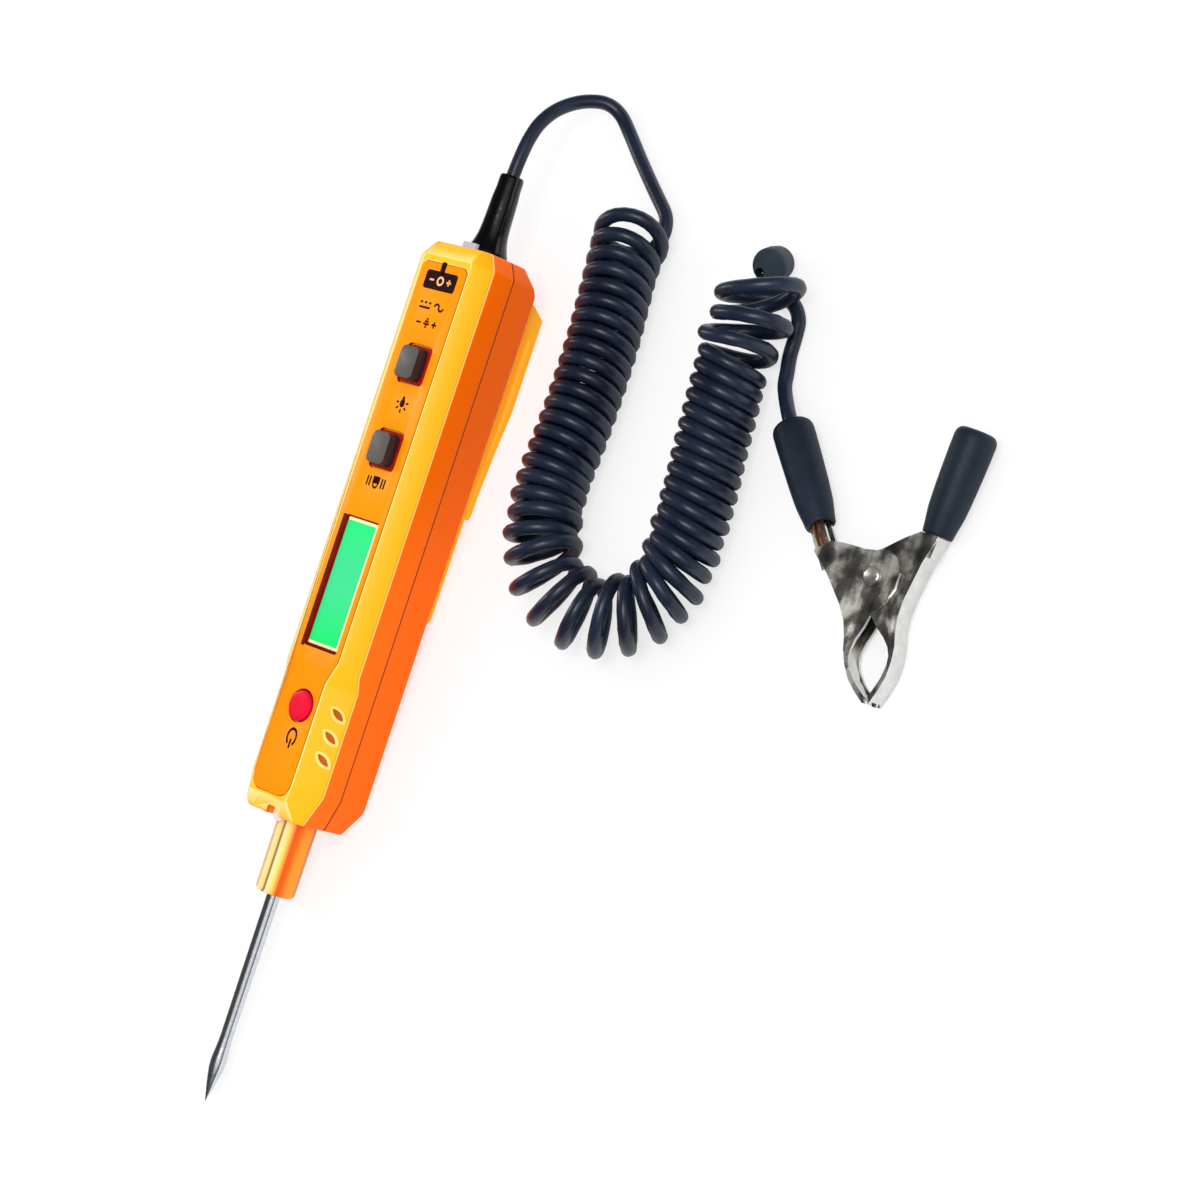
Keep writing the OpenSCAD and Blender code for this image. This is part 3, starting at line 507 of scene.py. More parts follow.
def link_mesh(name, bm, smooth_angle=32):
    mesh = bpy.data.meshes.new(name)
    bm.to_mesh(mesh)
    bm.free()
    mesh.shade_smooth()
    mesh.set_sharp_from_angle(angle=radians(smooth_angle))
    return add_object(name, mesh)


def place_piece(name, bm, slot, materials, *stands_for, where=CASE, body="tester", smooth_angle=32):
    """Moves a finished shape to its place, gives it its finish and sets it on its body."""
    bm.transform(where)
    piece = link_mesh(name, outwards(bm), smooth_angle)
    for material in materials if isinstance(materials, list) else [materials]:
        piece.data.materials.append(material)
    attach(piece, body)
    if stands_for:
        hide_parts(*stands_for)
    print(name, "has", len(piece.data.polygons), "faces")
    return piece


def merged_copy(node, where):
    """A copy of a solid's mesh in millimetres in its own frame, its triangles joined into flats."""
    bm = bmesh.new()
    bm.from_mesh(nodes[node].data)
    bm.transform(where.inverted())
    merge_close(bm, 0.002)
    merge_flat(bm, 0.6)
    return bm


def combine(bm, tool, operation="DIFFERENCE"):
    """Cuts or joins two closed shapes with the exact boolean and returns the result."""
    first, second = link_mesh("boolean_a", bm), link_mesh("boolean_b", tool)
    modifier = first.modifiers.new("cut", "BOOLEAN")
    modifier.operation = operation
    modifier.solver = "EXACT"
    modifier.object = second
    bpy.context.view_layer.update()
    result = bmesh.new()
    result.from_object(first, bpy.context.evaluated_depsgraph_get())
    for used in (first, second):
        mesh = used.data
        bpy.data.objects.remove(used)
        bpy.data.meshes.remove(mesh)
    merge_close(result)
    return result


print("modelling helpers are ready")

# %% [markdown]
# ## The outer form of the case
# The case is a faceted bar whose front bevels are wider below the waist than above it, and whose
# left shoulder is fuller than the right one. It could be lofted from sections, but every facet is
# flat, so it is quicker and truer to take a block and plane it down: bisect_plane cuts a facet and
# fills the opening. The waist is hollow there, so a boolean takes that wedge away. All edges are
# then rounded at once, as a mould maker rounds them.

# %% Facets of the case
TOP_START_Y = 141.8
SIDE_PROFILE = [(0, 9), (4.6, FRONT), (TOP_START_Y, FRONT), (CASE_LEN, 9), (CASE_LEN, -5.2),
                (142, -7.8), (138.5, REAR), (BACK_START_Y, REAR), (0, -6.4)]
END_FACETS = [((9.5, 0), (HALF_W, 8.2)), ((HALF_W, TOP_START_Y), (9.3, CASE_LEN))]
TOP_FACET = Vector((0, 5, 9.2))
REAR_CHAMFER = 1.5
# For the right side and the left: the flat front's half width, and how far the bevel drops beside it
BODY_BEVELS = {1: (7.8, 4.2), -1: (8.6, 1.8)}
GRIP_BEVELS = {1: (5.6, 5.4), -1: (8.6, 2.6)}
WAIST_PROFILE = [(-10, -1.5), (8.8, 0), (34.5, 0), (40.5, 1.5), (40.5, 12), (-10, 12)]


def bevel_of(bevels, side):
    """The flat front's half width and the bevel's angle, on one side."""
    half, drop = bevels[side]
    return half, atan2(drop, HALF_W - half)


for name, bevels in (("body", BODY_BEVELS), ("grip", GRIP_BEVELS)):
    right, left = [round(degrees(bevel_of(bevels, side)[1]), 1) for side in (1, -1)]
    print(name, "bevels fall by", right, "degrees on the right and", left, "on the left")

# %% Plane a block into the case's outer form
def plane_off(bm, point, normal):
    """Removes what lies beyond a plane and closes the cut."""
    geometry = bm.verts[:] + bm.edges[:] + bm.faces[:]
    cut = bmesh.ops.bisect_plane(bm, geom=geometry, plane_co=point, plane_no=normal, clear_outer=True)
    rim = [g for g in cut["geom_cut"] if isinstance(g, bmesh.types.BMEdge)]
    bmesh.ops.holes_fill(bm, edges=rim, sides=0)


def case_block():
    bm = bmesh.new()
    bmesh.ops.create_cube(bm, size=1)
    bmesh.ops.scale(bm, vec=(2 * HALF_W, CASE_LEN, FRONT - REAR), verts=bm.verts)
    shift(bm, 0, CASE_LEN / 2, (FRONT + REAR) / 2)
    for (y0, z0), (y1, z1) in zip(SIDE_PROFILE, SIDE_PROFILE[1:] + SIDE_PROFILE[:1]):
        if (y0 != y1) and (z0 != z1):
            plane_off(bm, (0, y0, z0), (0, z0 - z1, y1 - y0))
    for side in (-1, 1):
        for (x0, y0), (x1, y1) in END_FACETS:
            plane_off(bm, (side * x0, y0, 0), (side * (y1 - y0), x0 - x1, 0))
        half, angle = bevel_of(BODY_BEVELS, side)
        plane_off(bm, (side * half, 0, FRONT), (side * sin(angle), 0, cos(angle)))
        plane_off(bm, (side * HALF_W, 0, REAR + REAR_CHAMFER), (side, 0, -1))
        top_facet = Matrix.Rotation(side * angle, 3, "Y") @ TOP_FACET
        plane_off(bm, (side * half, TOP_START_Y, FRONT), top_facet)
    return bm


def waist_wedge(side):
    """What the grip's wider bevel removes: above a line that rises again at the waist."""
    bm = bmesh.new()
    face = bm.faces.new([bm.verts.new((-20, y, z)) for y, z in WAIST_PROFILE])
    extrude(bm, [face], (40, 0, 0))
    half, angle = bevel_of(GRIP_BEVELS, side)
    outwards(bm).transform(moved(side * half, 0, FRONT) @ Matrix.Rotation(side * angle, 4, "Y"))
    return bm


outer_form = case_block()
for side in (-1, 1):
    outer_form = combine(outer_form, waist_wedge(side))
merge_flat(outer_form, 0.5)
merge_close(outer_form, 0.3)
rounded = round_edges(outer_form, 0.55, 4, sharper_than=8, clamp=False)
outwards(outer_form)
# A hair smaller than the solid, so that no two faces lie in one plane when the shells are cut
bmesh.ops.scale(outer_form, vec=(0.999, 0.9998, 0.999), verts=outer_form.verts,
                space=moved(0, -CASE_LEN / 2, 0))
print("outer form:", len(outer_form.faces), "faces,", rounded, "edges rounded")

# %% [markdown]
# ## The case's plastic
# The shells are glossy orange ABS. A facet that faces the light looks yellow and one that stands
# upright looks red-orange. The photograph shows that strongly. A ramp on the surface's own
# direction paints that light and shade into the colour as two tones of one plastic, and it stays
# with the surface from any view. Its two pale stops are painted highlights that fall only on the
# rounded edges, which light up on the real case. A faint glow in the same tones is painted light
# as well. The recesses under the keys and round the window are painted dark red as the shade in them.

# %% Finishes of the shells and the panel
# The pale yellow of the painted highlight on the case's rounded edges
PAINTED_EDGE_HIGHLIGHT = "FFE08C"
MATT = (0.5, 0.6)


def case_plastic(name, upright, slanted, flat, rough, glow=0.1):
    tree = new_finish(name)
    upward = tree.facing((0, -sin(REST_ANGLE), cos(REST_ANGLE)))
    # Painted light and shade: upright faces red-orange, upward faces yellow, rounded edges pale
    painted_light_tone = tree.ramp(tree.scaled_sum(tree.noise(35), 0.1, upward),
                     (0.1, upright), (0.3, upright), (0.42, PAINTED_EDGE_HIGHLIGHT),
                     (0.56, between(upright, slanted, 0.6)), (0.74, slanted),
                     (0.88, between(slanted, flat, 0.6)), (0.95, PAINTED_EDGE_HIGHLIGHT), (1.0, flat))
    tree.grain(tree.noise(1300), 0.000012, rough)
    # The faint glow in the same tones is painted light
    tree.set(Base_Color=painted_light_tone, Emission_Color=painted_light_tone, Emission_Strength=glow,
             Specular_IOR_Level=0.1, Coat_Weight=0.06, Coat_Roughness=0.12)
    return tree.owner


front_abs = case_plastic("front_shell_abs", "FC6A00", "FFB010", "FFBC20", (0.3, 0.38))
rear_abs = case_plastic("rear_shell_abs", "FA6600", "FC8400", "FFB41C", (0.3, 0.38))
# The door glows more than the shells: painted light that brightens it in the case's shade
door_abs = case_plastic("door_abs", "FFB020", "FFBC2C", "FFC83C", (0.32, 0.4), glow=0.18)
# Painted light: the sound slots' rims pale yellow as a highlight, their floors brown as shade
rim_painted_highlight = finish("rim_painted_highlight", "FFD860", "FFE078", (0.35, 0.45), patches=90, Specular_IOR_Level=0.25)
slot_painted_shade = finish("slot_painted_shade", "B8640A", "C87010", MATT, patches=90, Specular_IOR_Level=0.2)
seam_painted_shade = finish("seam_shadow", "6E0C00", "7E1602", MATT, patches=200)
well_painted_shade = finish("well_painted_shade", "A01006", "AE180C", MATT, patches=200, Specular_IOR_Level=0.08)
groove_painted_shade = finish("groove_painted_shade", "7A3A08", "8A460C", MATT, patches=200)
amber = finish("amber_panel", "FB8C00", "FF9806", (0.28, 0.36), grain=700, depth=0.000006, patches=22,
               Specular_IOR_Level=0.07)
# Daylight through the orange wall gives the shells' inside a faint brown glow
inside_abs = finish("shell_inside", "D8720C", "E07C14", MATT,
                    Emission_Color=srgb("C46A10"), Emission_Strength=0.45)
print("finishes of the shells and the panel are ready")

# %% Finish of the nozzle
def nozzle_painted_reflection():
    """Painted reflection: the nozzle's gloss is painted as lengthwise pale and dark bands whose colour
    follows the wall's direction.
    """
    tree = new_finish("nozzle_abs")
    side_on = tree.facing(Vector((0.755, 0.037, -0.655)).normalized())
    wobble = tree.scaled_sum(tree.noise(60, stretch=(1, 0.12, 1)), 0.12, side_on)
    bands = tree.ramp(tree.span(wobble, 0, 1, -0.94, 1.06), (0.02, "D08A18"), (0.1, "FFE9A8"),
                      (0.2, "FFD97A"), (0.25, "8A3A06"), (0.3, "FFF0B0"), (0.42, "FFDC70"),
                      (0.5, "FDAA28"), (0.57, "E85204"), (0.66, "F06404"), (0.8, "FF920A"),
                      (0.93, "FF9C14"), (1.0, "C87410"))
    tree.grain(tree.noise(900), 0.000008, (0.2, 0.28))
    tree.set(Base_Color=bands, Specular_IOR_Level=0.3, Coat_Weight=0.2, Coat_Roughness=0.08)
    return tree.owner


nozzle_abs = nozzle_painted_reflection()
print("the nozzle's finish:", nozzle_abs.name)

# %% [markdown]
# ## The two shells
# Each shell is the solid's own copy, with its walls, posts and openings, trimmed by the rounded
# outer form. The seam edge gets a narrow chamfer on both shells, painted dark red as shade, which
# makes the thin dark line that the photograph shows. The left shoulder is fuller than the solid
# there, so a strip of wall is laid on from inside, trimmed by the same outer form and joined to the
# front shell. The three sound slots have raised rims, modelled apart and set on the grip's bevel;
# the rims are painted pale as a highlight and the slots' floors brown as shade.

# %% Places on the case's front
LIGHT_KEY_Y, HOLD_KEY_Y, WINDOW_Y, POWER_KEY_Y = 114.8, 93, 58.6, 27.5
# place along the case, half width and half length of each opening round a key or the window
WELLS = [(LIGHT_KEY_Y, 5.4, 6.1), (HOLD_KEY_Y, 5.4, 6.1), (WINDOW_Y, 6.6, 17.5),
         (POWER_KEY_Y, 4.6, 4.6)]
PANEL_GAP = 0.14
# the finishes of the shells, by their numbers in each shell's list
OUTSIDE, INSIDE, WELL, SEAM, RIM, WEB = range(6)


def in_well(middle, wells=WELLS):
    return any(abs(middle.y - y) < half_y and abs(middle.x) < half_x for y, half_x, half_y in wells)


def panel_outline(spread):
    """The panel's outline: straight on its left, narrower below the waist on its right."""
    left, corner_y, radius = -8.3 - spread, 8.6, 3.5 + spread
    quarter = [radians(a) for a in range(0, 91, 15)]
    corner = [(left + 3.5 - 3.5 * cos(a), corner_y - radius * sin(a)) for a in quarter]
    foot = [(1.8 + radius * sin(a), corner_y - radius * cos(a)) for a in quarter]
    return [(left, 139.1)] + corner + foot + [
        (5.3 + spread, 34.5), (7.5 + spread, 40.5), (7.5 + spread, 139.1), (6.3, 140.3 + spread),
        (left + 1.2, 140.3 + spread)]


def panel_bed():
    """What the panel's recess takes out of the shell."""
    return slab(panel_outline(PANEL_GAP), FRONT - 1.005, FRONT + 2)


print("the panel's outline has", len(panel_outline(0)), "corners")

# %% Rims of the sound slots
SOUND_SLOTS = (16.8, 22.5, 28.3)
RIM_TOP, RIM_DEPTH = 0.42, 1.0


def lens_outline(length, width, steps=10):
    """Pointed oval between two arcs, as (x, y) points."""
    radius = (length ** 2 + width ** 2) / (4 * width)
    half_angle = asin(length / 2 / radius)
    inset = radius - width / 2
    arc = [(radius * cos(a) - inset, radius * sin(a))
           for a in [half_angle * (2 * i / steps - 1) for i in range(steps)]]
    return arc + [(-x, -y) for x, y in arc]


def sound_rim(y):
    bm = bmesh.new()
    edges = []
    for outline in (lens_outline(5.8, 3.2), lens_outline(3.9, 1.5)):
        verts = [bm.verts.new((px, py, RIM_TOP)) for px, py in outline]
        edges += [bm.edges.new((a, b)) for a, b in zip(verts, verts[1:] + verts[:1])]
    bmesh.ops.bridge_loops(bm, edges=edges)
    extrude(bm, bm.faces[:], (0, 0, -RIM_DEPTH))
    round_edges(outwards(bm), 0.28, 3, 60, above(0.3))
    # The rim is painted pale as a highlight, and the web below it brown as the shade in the slot
    paint(bm.faces, RIM)
    web = slab(lens_outline(4.3, 1.9), -1.3, -0.9)
    paint(web.faces, WEB)
    add_to(bm, web)
    half, angle = bevel_of(GRIP_BEVELS, 1)
    on_bevel = moved(half, 0, FRONT) @ Matrix.Rotation(angle, 4, "Y")
    bm.transform(on_bevel @ moved(5.4, y, 0) @ turned(55, "Z"))
    return bm


print("sound slots at", SOUND_SLOTS, "mm from the nose")

# %% The fuller left shoulder
# place along the case, lower edge, inner edge, how far the inner edge dips under the sloping ends
SHOULDER = [(-1, 5.0, -4.2, 2.4), (8.8, 6.07, -5.3, 0), (34.5, 6.07, -5.3, 0), (40.5, 7.27, -7.4, 0),
            (141.0, 7.27, -7.4, 0), (147, 7.27, -7.4, 2.6)]


def shoulder_fill():
    """A strip of wall that follows the solid's bevel from inside."""
    bm = bmesh.new()
    sections = []
    for y, low, inner, dip in SHOULDER:
        outline = [(inner, FRONT + 1), (-13, FRONT + 1), (-13, low), (-11.75, low), (-11, low - 0.37),
                   (inner - 1.6, 9.4 - dip), (inner, 10.3 - dip)]
        sections.append([bm.verts.new((x, y, z)) for x, z in outline])
    for first, second in zip(sections, sections[1:]):
        for i in range(len(first)):
            bm.faces.new((first[i - 1], first[i], second[i], second[i - 1]))
    bm.faces.new(sections[0])
    bm.faces.new(sections[-1][::-1])
    bmesh.ops.triangulate(bm, faces=bm.faces)
    return outwards(bm)


print("the shoulder is lofted through", len(SHOULDER), "sections")

# %% Front and rear shell
SEAM_CHAMFER, SEAM_REACH, SKIN = 0.2, 0.17, 0.7
WELL_LOW, WELL_HIGH, RECESS_Z = 8, 11.2, 9.6


def on_seam(edge):
    """The outer edge of a shell where it meets the other one."""
    xs, ys = [abs(v.co.x) for v in edge.verts], [v.co.y for v in edge.verts]
    at_outside = min(xs) > 11.5 or max(ys) < 8.5 or min(ys) > 141.5
    return at_outside and all(abs(v.co.z) < 0.01 for v in edge.verts)


def sort_shell_faces(bm):
    """Gives each face its plastic, by its place and by how deep it lies below the outer form."""
    surface = BVHTree.FromBMesh(outer_form)
    for face in bm.faces:
        middle = face.calc_center_median()
        depth = surface.find_nearest(middle)[3]
        face.material_index = OUTSIDE
        # Well faces are painted dark red as the shade in the recesses under the keys and the window
        if WELL_LOW < middle.z < WELL_HIGH and in_well(middle):
            face.material_index = WELL
        elif depth > SKIN and middle.z < RECESS_Z:
            face.material_index = INSIDE
        # Seam chamfer faces are painted dark red as the shade in the seam
        elif abs(middle.z) < SEAM_REACH and 0.1 < abs(face.normal.z) < 0.9 and depth < 0.4:
            face.material_index = SEAM


def trimmed_shell(node, *cuts):
    bm = combine(merged_copy(node, CASE), outer_form.copy(), "INTERSECT")
    for cut in cuts:
        bm = combine(bm, cut)
    print(node, "seam edges:", round_edges(bm, SEAM_CHAMFER, 1, 60, on_seam))
    sort_shell_faces(bm)
    return bm


front_shell = trimmed_shell("front_shell", panel_bed())
shoulder = combine(combine(shoulder_fill(), outer_form.copy(), "INTERSECT"), panel_bed())
print("left shoulder:", len(shoulder.faces), "faces,", round(shoulder.calc_volume()), "cubic mm")
front_shell = combine(front_shell, shoulder, "UNION")
print("front shell with shoulder:", round(front_shell.calc_volume()), "cubic mm, open edges",
      sum(1 for e in front_shell.edges if len(e.link_faces) != 2))
for slot_y in SOUND_SLOTS:
    add_to(front_shell, sound_rim(slot_y))
rear_shell = trimmed_shell("rear_shell")
outer_form.free()
shell_finishes = [inside_abs, well_painted_shade, seam_painted_shade]
place_piece("shell_front", front_shell, "orange_shell",
            [front_abs] + shell_finishes + [rim_painted_highlight, slot_painted_shade], "front_shell")
place_piece("shell_rear", rear_shell, "dark_orange_shell", [rear_abs] + shell_finishes, "rear_shell")

# %% [markdown]
# ## Face panel
# The panel is a flat amber moulding let into the front shell, with windows for the display and the
# keys. It is an outline extruded by a millimetre, with its openings cut out by booleans and its
# upper edges rounded by a fifth of a millimetre.

# %% Face panel
def rounded_rectangle(width, length, radius, x, y, steps=5):
    points = []
    for quarter, (sx, sy) in enumerate(((1, 1), (-1, 1), (-1, -1), (1, -1))):
        for step in range(steps + 1):
            a = radians(90 * quarter + 90 * step / steps)
            points.append((x + sx * (width / 2 - radius) + radius * cos(a),
                           y + sy * (length / 2 - radius) + radius * sin(a)))
    return points


panel = slab(panel_outline(0), FRONT - 1, FRONT)
for opening in ((8.9, 10.1, 1.3, 0.1, LIGHT_KEY_Y), (8.9, 10.1, 1.3, 0.1, HOLD_KEY_Y),
                (11.8, 33.5, 0.6, 0, WINDOW_Y), (8.4, 8.4, 4.19, 0, POWER_KEY_Y, 10)):
    panel = combine(panel, slab(rounded_rectangle(*opening), FRONT - 3, FRONT + 3))
merge_flat(panel, 0.5)
print("panel edges rounded:", round_edges(panel, 0.22, 2, 60, above(FRONT - 0.05)))
for face in outwards(panel).faces:
    middle = face.calc_center_median()
    # The panel's side walls are painted as shade: dark red round the wells, brown along the groove at
    # its edge
    if face.normal.z < 0.9 and middle.z > FRONT - 0.9:
        face.material_index = 2 if in_well(middle, WELLS[:3]) else 1
place_piece("panel", panel, "amber_panel", [amber, groove_painted_shade, well_painted_shade], "face_panel")

# %% [markdown]
# ## Printed marks
# The marks are dark maroon ink, all plain electrical signs that are read with the needle upward.
# Each stroke is a thin strip of real geometry: a short edge spun through an angle for an arc, or a
# rectangle for a bar, so that the print also shows in a mesh without its material. A red-brown strip
# of the same kind is the shade along the window's left edge.

# %% Strokes of ink
FINE_PRINT = dict(grain=1500, depth=0.000004, patches=200)
ink = finish("maroon_ink", "220206", "300508", MATT, Specular_IOR_Level=0.08, **FINE_PRINT)
shade_red = finish("window_shade_red", "5C1204", "6E1A08", MATT, Specular_IOR_Level=0.08, **FINE_PRINT)
PRINT_LOW, PRINT_HIGH = FRONT + 0.005, FRONT + 0.045


def thicken(bm):
    extrude(bm, bm.faces[:], (0, 0, PRINT_HIGH - PRINT_LOW))
    return outwards(bm)


def ink_arc(x, y, radius, start, end, width, stretch=1.0):
    """Part of a ring, from one angle to another in degrees."""
    bm = bmesh.new()
    a = radians(start)
    across = radius - width / 2, radius + width / 2
    verts = [bm.verts.new((r * cos(a), r * sin(a), 0)) for r in across]
    bmesh.ops.spin(bm, geom=verts + [bm.edges.new(verts)], cent=(0, 0, 0), axis=(0, 0, 1),
                   angle=radians(end - start), steps=max(4, int(abs(end - start) / 12)))
    bmesh.ops.scale(bm, vec=(1, stretch, 1), verts=bm.verts)
    return thicken(shift(bm, x, y, PRINT_LOW))


def ink_bars(width, *ends):
    """Straight strokes, each between two points."""
    bars = []
    for x0, y0, x1, y1 in ends:
        along = Vector((x1 - x0, y1 - y0))
        bm = bmesh.new()
        bmesh.ops.create_grid(bm, x_segments=1, y_segments=1, size=0.5)
        bmesh.ops.scale(bm, vec=(along.length, width, 1), verts=bm.verts)
        bm.transform(Matrix.Rotation(atan2(along.y, along.x), 4, "Z"))
        bars.append(thicken(shift(bm, (x0 + x1) / 2, (y0 + y1) / 2, PRINT_LOW)))
    return bars


def ink_block(width, length, x, y, corner=0.0):
    bm = slab(rectangle(width, length, x, y), PRINT_LOW, PRINT_HIGH)
    if corner:
        round_edges(bm, corner, 4, 60, standing(0.01))
    return bm


def sign(strokes, x, y, size=1.0):
    """Sets a sign that was drawn round its own middle."""
    bm = bmesh.new()
    for stroke in strokes:
        add_to(bm, stroke)
    bmesh.ops.scale(bm, vec=(size, size, 1), verts=bm.verts)
    bm.transform(turned(180, "Z"))
    return shift(bm, x, y)


print("the ink lies", round(PRINT_HIGH - PRINT_LOW, 3), "mm thick")

# %% Signs on the panel
RAYS = [radians(a) for a in (-8, 38, 90, 142, 188)]
lamp_sign = [ink_arc(0, 0.5, 0.42, 0, 360, 0.84, 1.25), ink_block(0.8, 1.3, 0, -0.6)] + ink_bars(
    0.5, *[(1.35 * cos(a), 0.6 + 1.45 * sin(a), 2.15 * cos(a), 0.6 + 2.3 * sin(a)) for a in RAYS])
hold_sign = [ink_block(2.5, 1.9, 0, -0.7, 0.25), ink_arc(0, 0.2, 0.85, 0, 180, 0.42, 1.35)] + ink_bars(
    0.5, *[(x, -1.4, x, 1.2) for x in (-3.2, -2.2, 2.2, 3.2)])
power_sign = [ink_arc(0, 0, 1.6, 122, 418, 0.55, 1.35)] + ink_bars(0.6, (0, 0.5, 0, 3.0))
wave = [ink_arc(-2.6, 0, 0.62, 0, 180, 0.42), ink_arc(-1.36, 0, 0.62, 180, 360, 0.42)]
current_sign = wave + ink_bars(
    0.42, (0.4, 0.5, 3.4, 0.5), (0.4, -0.5, 1.0, -0.5), (1.6, -0.5, 2.2, -0.5), (2.8, -0.5, 3.4, -0.5))
poles_sign = ink_bars(0.42, (-3.1, 0, -1.7, 0), (-2.4, -0.7, -2.4, 0.7), (0, 1.0, 0, 0.1),
                      (-0.9, 0.1, 0.9, 0.1), (-0.6, -0.45, 0.6, -0.45), (-0.28, -1.0, 0.28, -1.0),
                      (1.7, 0, 3.1, 0))
print_marks = bmesh.new()
for marks in (sign(lamp_sign, 0.3, 105.4, 0.98), sign(hold_sign, 0.2, 84.6, 0.95),
              sign(power_sign, 0.4, 19.6, 0.95), sign(current_sign, -0.6, 129.6, 1.25),
              sign(poles_sign, -0.6, 125.2, 1.15), ink_block(11.0, 4.7, -0.5, 136.0, 0.8),
              ink_block(1.7, 3.2, -0.9, 139.2, 0.5)):
    add_to(print_marks, marks)
window_shade = ink_block(1.2, 33.8, -6.35, 58.4, 0.3)
paint(window_shade.faces, 1)
add_to(print_marks, window_shade)
place_piece("panel_print", print_marks, None, [ink, shade_red])

# %% [markdown]
# The badge at the top carries a sign in the panel's own colour: a ring between a minus and a plus. It
# is made of the same strokes, lifted a hair above the ink.

# %% Sign on the badge
BADGE_LIFT = 0.035
badge_ink = finish("amber_ink", "FFB060", "FFC080", **FINE_PRINT)
badge_strokes = [ink_arc(0, 0, 1.0, 0, 360, 0.55)] + ink_bars(
    0.5, (-4.0, 0, -2.4, 0), (-3.2, -0.8, -3.2, 0.8), (2.4, 0, 4.0, 0))
badge_sign = shift(sign(badge_strokes, -0.5, 136.0, 0.95), z=BADGE_LIFT)
place_piece("badge_sign", badge_sign, None, badge_ink)

# %% [markdown]
# ## Keys
# The torch and hold keys are square caps of grey rubber-like plastic, 2.8 mm proud, and the power
# key is a low round red one. Each is drawn as one moulding with the flange that keeps it in.

# %% Square keys
grey_key = finish("grey_key", "55504B", "605A55", (0.38, 0.5), patches=120)
key_side_painted_shade = finish("key_side_painted_shade", "2A1A20", "352026", patches=120)
CAP_TOP = 14.3


def square_key(y):
    cap = slab(rectangle(6.3, 8.1, -0.15, y), 9.2, CAP_TOP)
    round_edges(cap, 1.5, 6, 60, standing(1))
    round_edges(cap, 0.3, 2, 60, above(CAP_TOP - 0.3))
    # The cap's sides are painted dark as shade
    paint([f for f in cap.faces if f.normal.z < 0.5 and f.calc_center_median().z < CAP_TOP - 0.1], 1)
    skirt = slab(rectangle(8.4, 9.6, 0.1, y), 8.5, 10.9)
    round_edges(skirt, 1.3, 5, 60, standing(0.5))
    # The flange is painted dark red as the shade in the well
    paint(skirt.faces, 2)
    add_to(cap, skirt)
    add_to(cap, shift(rod(1.4, 7.6, 8.6), y=y))
    return cap


for name, key_y in (("light_key", LIGHT_KEY_Y), ("hold_key", HOLD_KEY_Y)):
    place_piece(name + "_cap", square_key(key_y), "grey_key", [grey_key, key_side_painted_shade, well_painted_shade], name,
                body=name + "_body")

# %% Round power key
red_key = finish("red_key", "E0002C", "EA0236", (0.3, 0.4), depth=0.00001, patches=120,
                 Specular_IOR_Level=0.15)
button = spun([(0, 7.6), (1.4, 7.6), (1.4, 8.5), (4.6, 8.5), (4.6, 9.2), (3.8, 9.2), (3.8, 11.7),
               (3.68, 12.0), (3.4, 12.18), (2.9, 12.27), (1.6, 12.3), (0, 12.3)])
place_piece("power_key_cap", shift(button, y=POWER_KEY_Y), "red_key", red_key, "power_key",
            body="power_key_body")

# %% [markdown]
# ## Display
# A flush lens sits on a ledge in the window. Behind so thin a lens the lit display seems to lie right
# at its surface, with a cream margin and a dark frame, so the lens carries those zones as thin plates.
# The dark red frame is painted shade of the window's walls.
# The glass behind it has the same lit green, for whoever takes the lens out.

# %% Lens and display glass
DISPLAY_HALF_M = 0.016


def display_finish(name, gloss, glow):
    """Lit liquid crystal: greener toward both ends."""
    tree = new_finish(name)
    middle = (CASE @ Vector((0, WINDOW_Y, 9.2))).y
    along = tree.add("SeparateXYZ", ("Vector", tree.place)).outputs["Y"]
    green = tree.ramp(tree.span(along, 0, 1, middle - DISPLAY_HALF_M, middle + DISPLAY_HALF_M),
                      (0, "14D868"), (0.45, "3CCE88"), (0.65, "38CE84"), (1, "1CDA74"))
    tree.grain(tree.noise(500, 2), 0.000002, (gloss, gloss + 0.08))
    tree.set(Base_Color=green, Emission_Color=green, Emission_Strength=glow, Specular_IOR_Level=0.2)
    return tree.owner


lens_green = display_finish("lens_green", 0.18, 0.22)
lens_cream = finish("lens_cream", "FFE9A8", "FFF0B8", (0.2, 0.3), patches=90)
lens_painted_shade = finish("lens_painted_shade", "6E0C08", "7C140C", (0.25, 0.35), patches=90)
window = slab(rectangle(11.4, 33.2, 0, WINDOW_Y), 9.91, 10.87)
round_edges(window, 0.1, 2, 60)
# a plate's finish, its left and right edges, its two ends, and its top
PLATES = (1, -5.35, 5.4, 42.65, 74.95, 10.885), (2, -5.35, 4.75, 43.35, 74.2, 10.9)
for index, x0, x1, y0, y1, top in PLATES:
    plate = slab(rectangle(x1 - x0, y1 - y0, (x0 + x1) / 2, (y0 + y1) / 2), 10.8, top)
    paint(plate.faces, index)
    add_to(window, plate)
place_piece("window_lens", window, "clear_lens", [lens_painted_shade, lens_cream, lens_green], "lcd_window")
glass = slab(rectangle(14, 37, 0, 57.6), 7.1, 9.2)
round_edges(glass, 0.12, 1, 60)
glass_green = display_finish("display_glass", 0.25, 0.2)
place_piece("display_glass", glass, "display_glass", glass_green, "lcd_glass")

# %% [markdown]
# ## Nose: nozzle, needle and torch lamp
# The nozzle and the needle are turned shapes, so both are spun. The nozzle's end is rounded and one
# narrow strip of its wall is sunk as the mould's parting groove. The needle is polished steel with a
# leaf-shaped point.

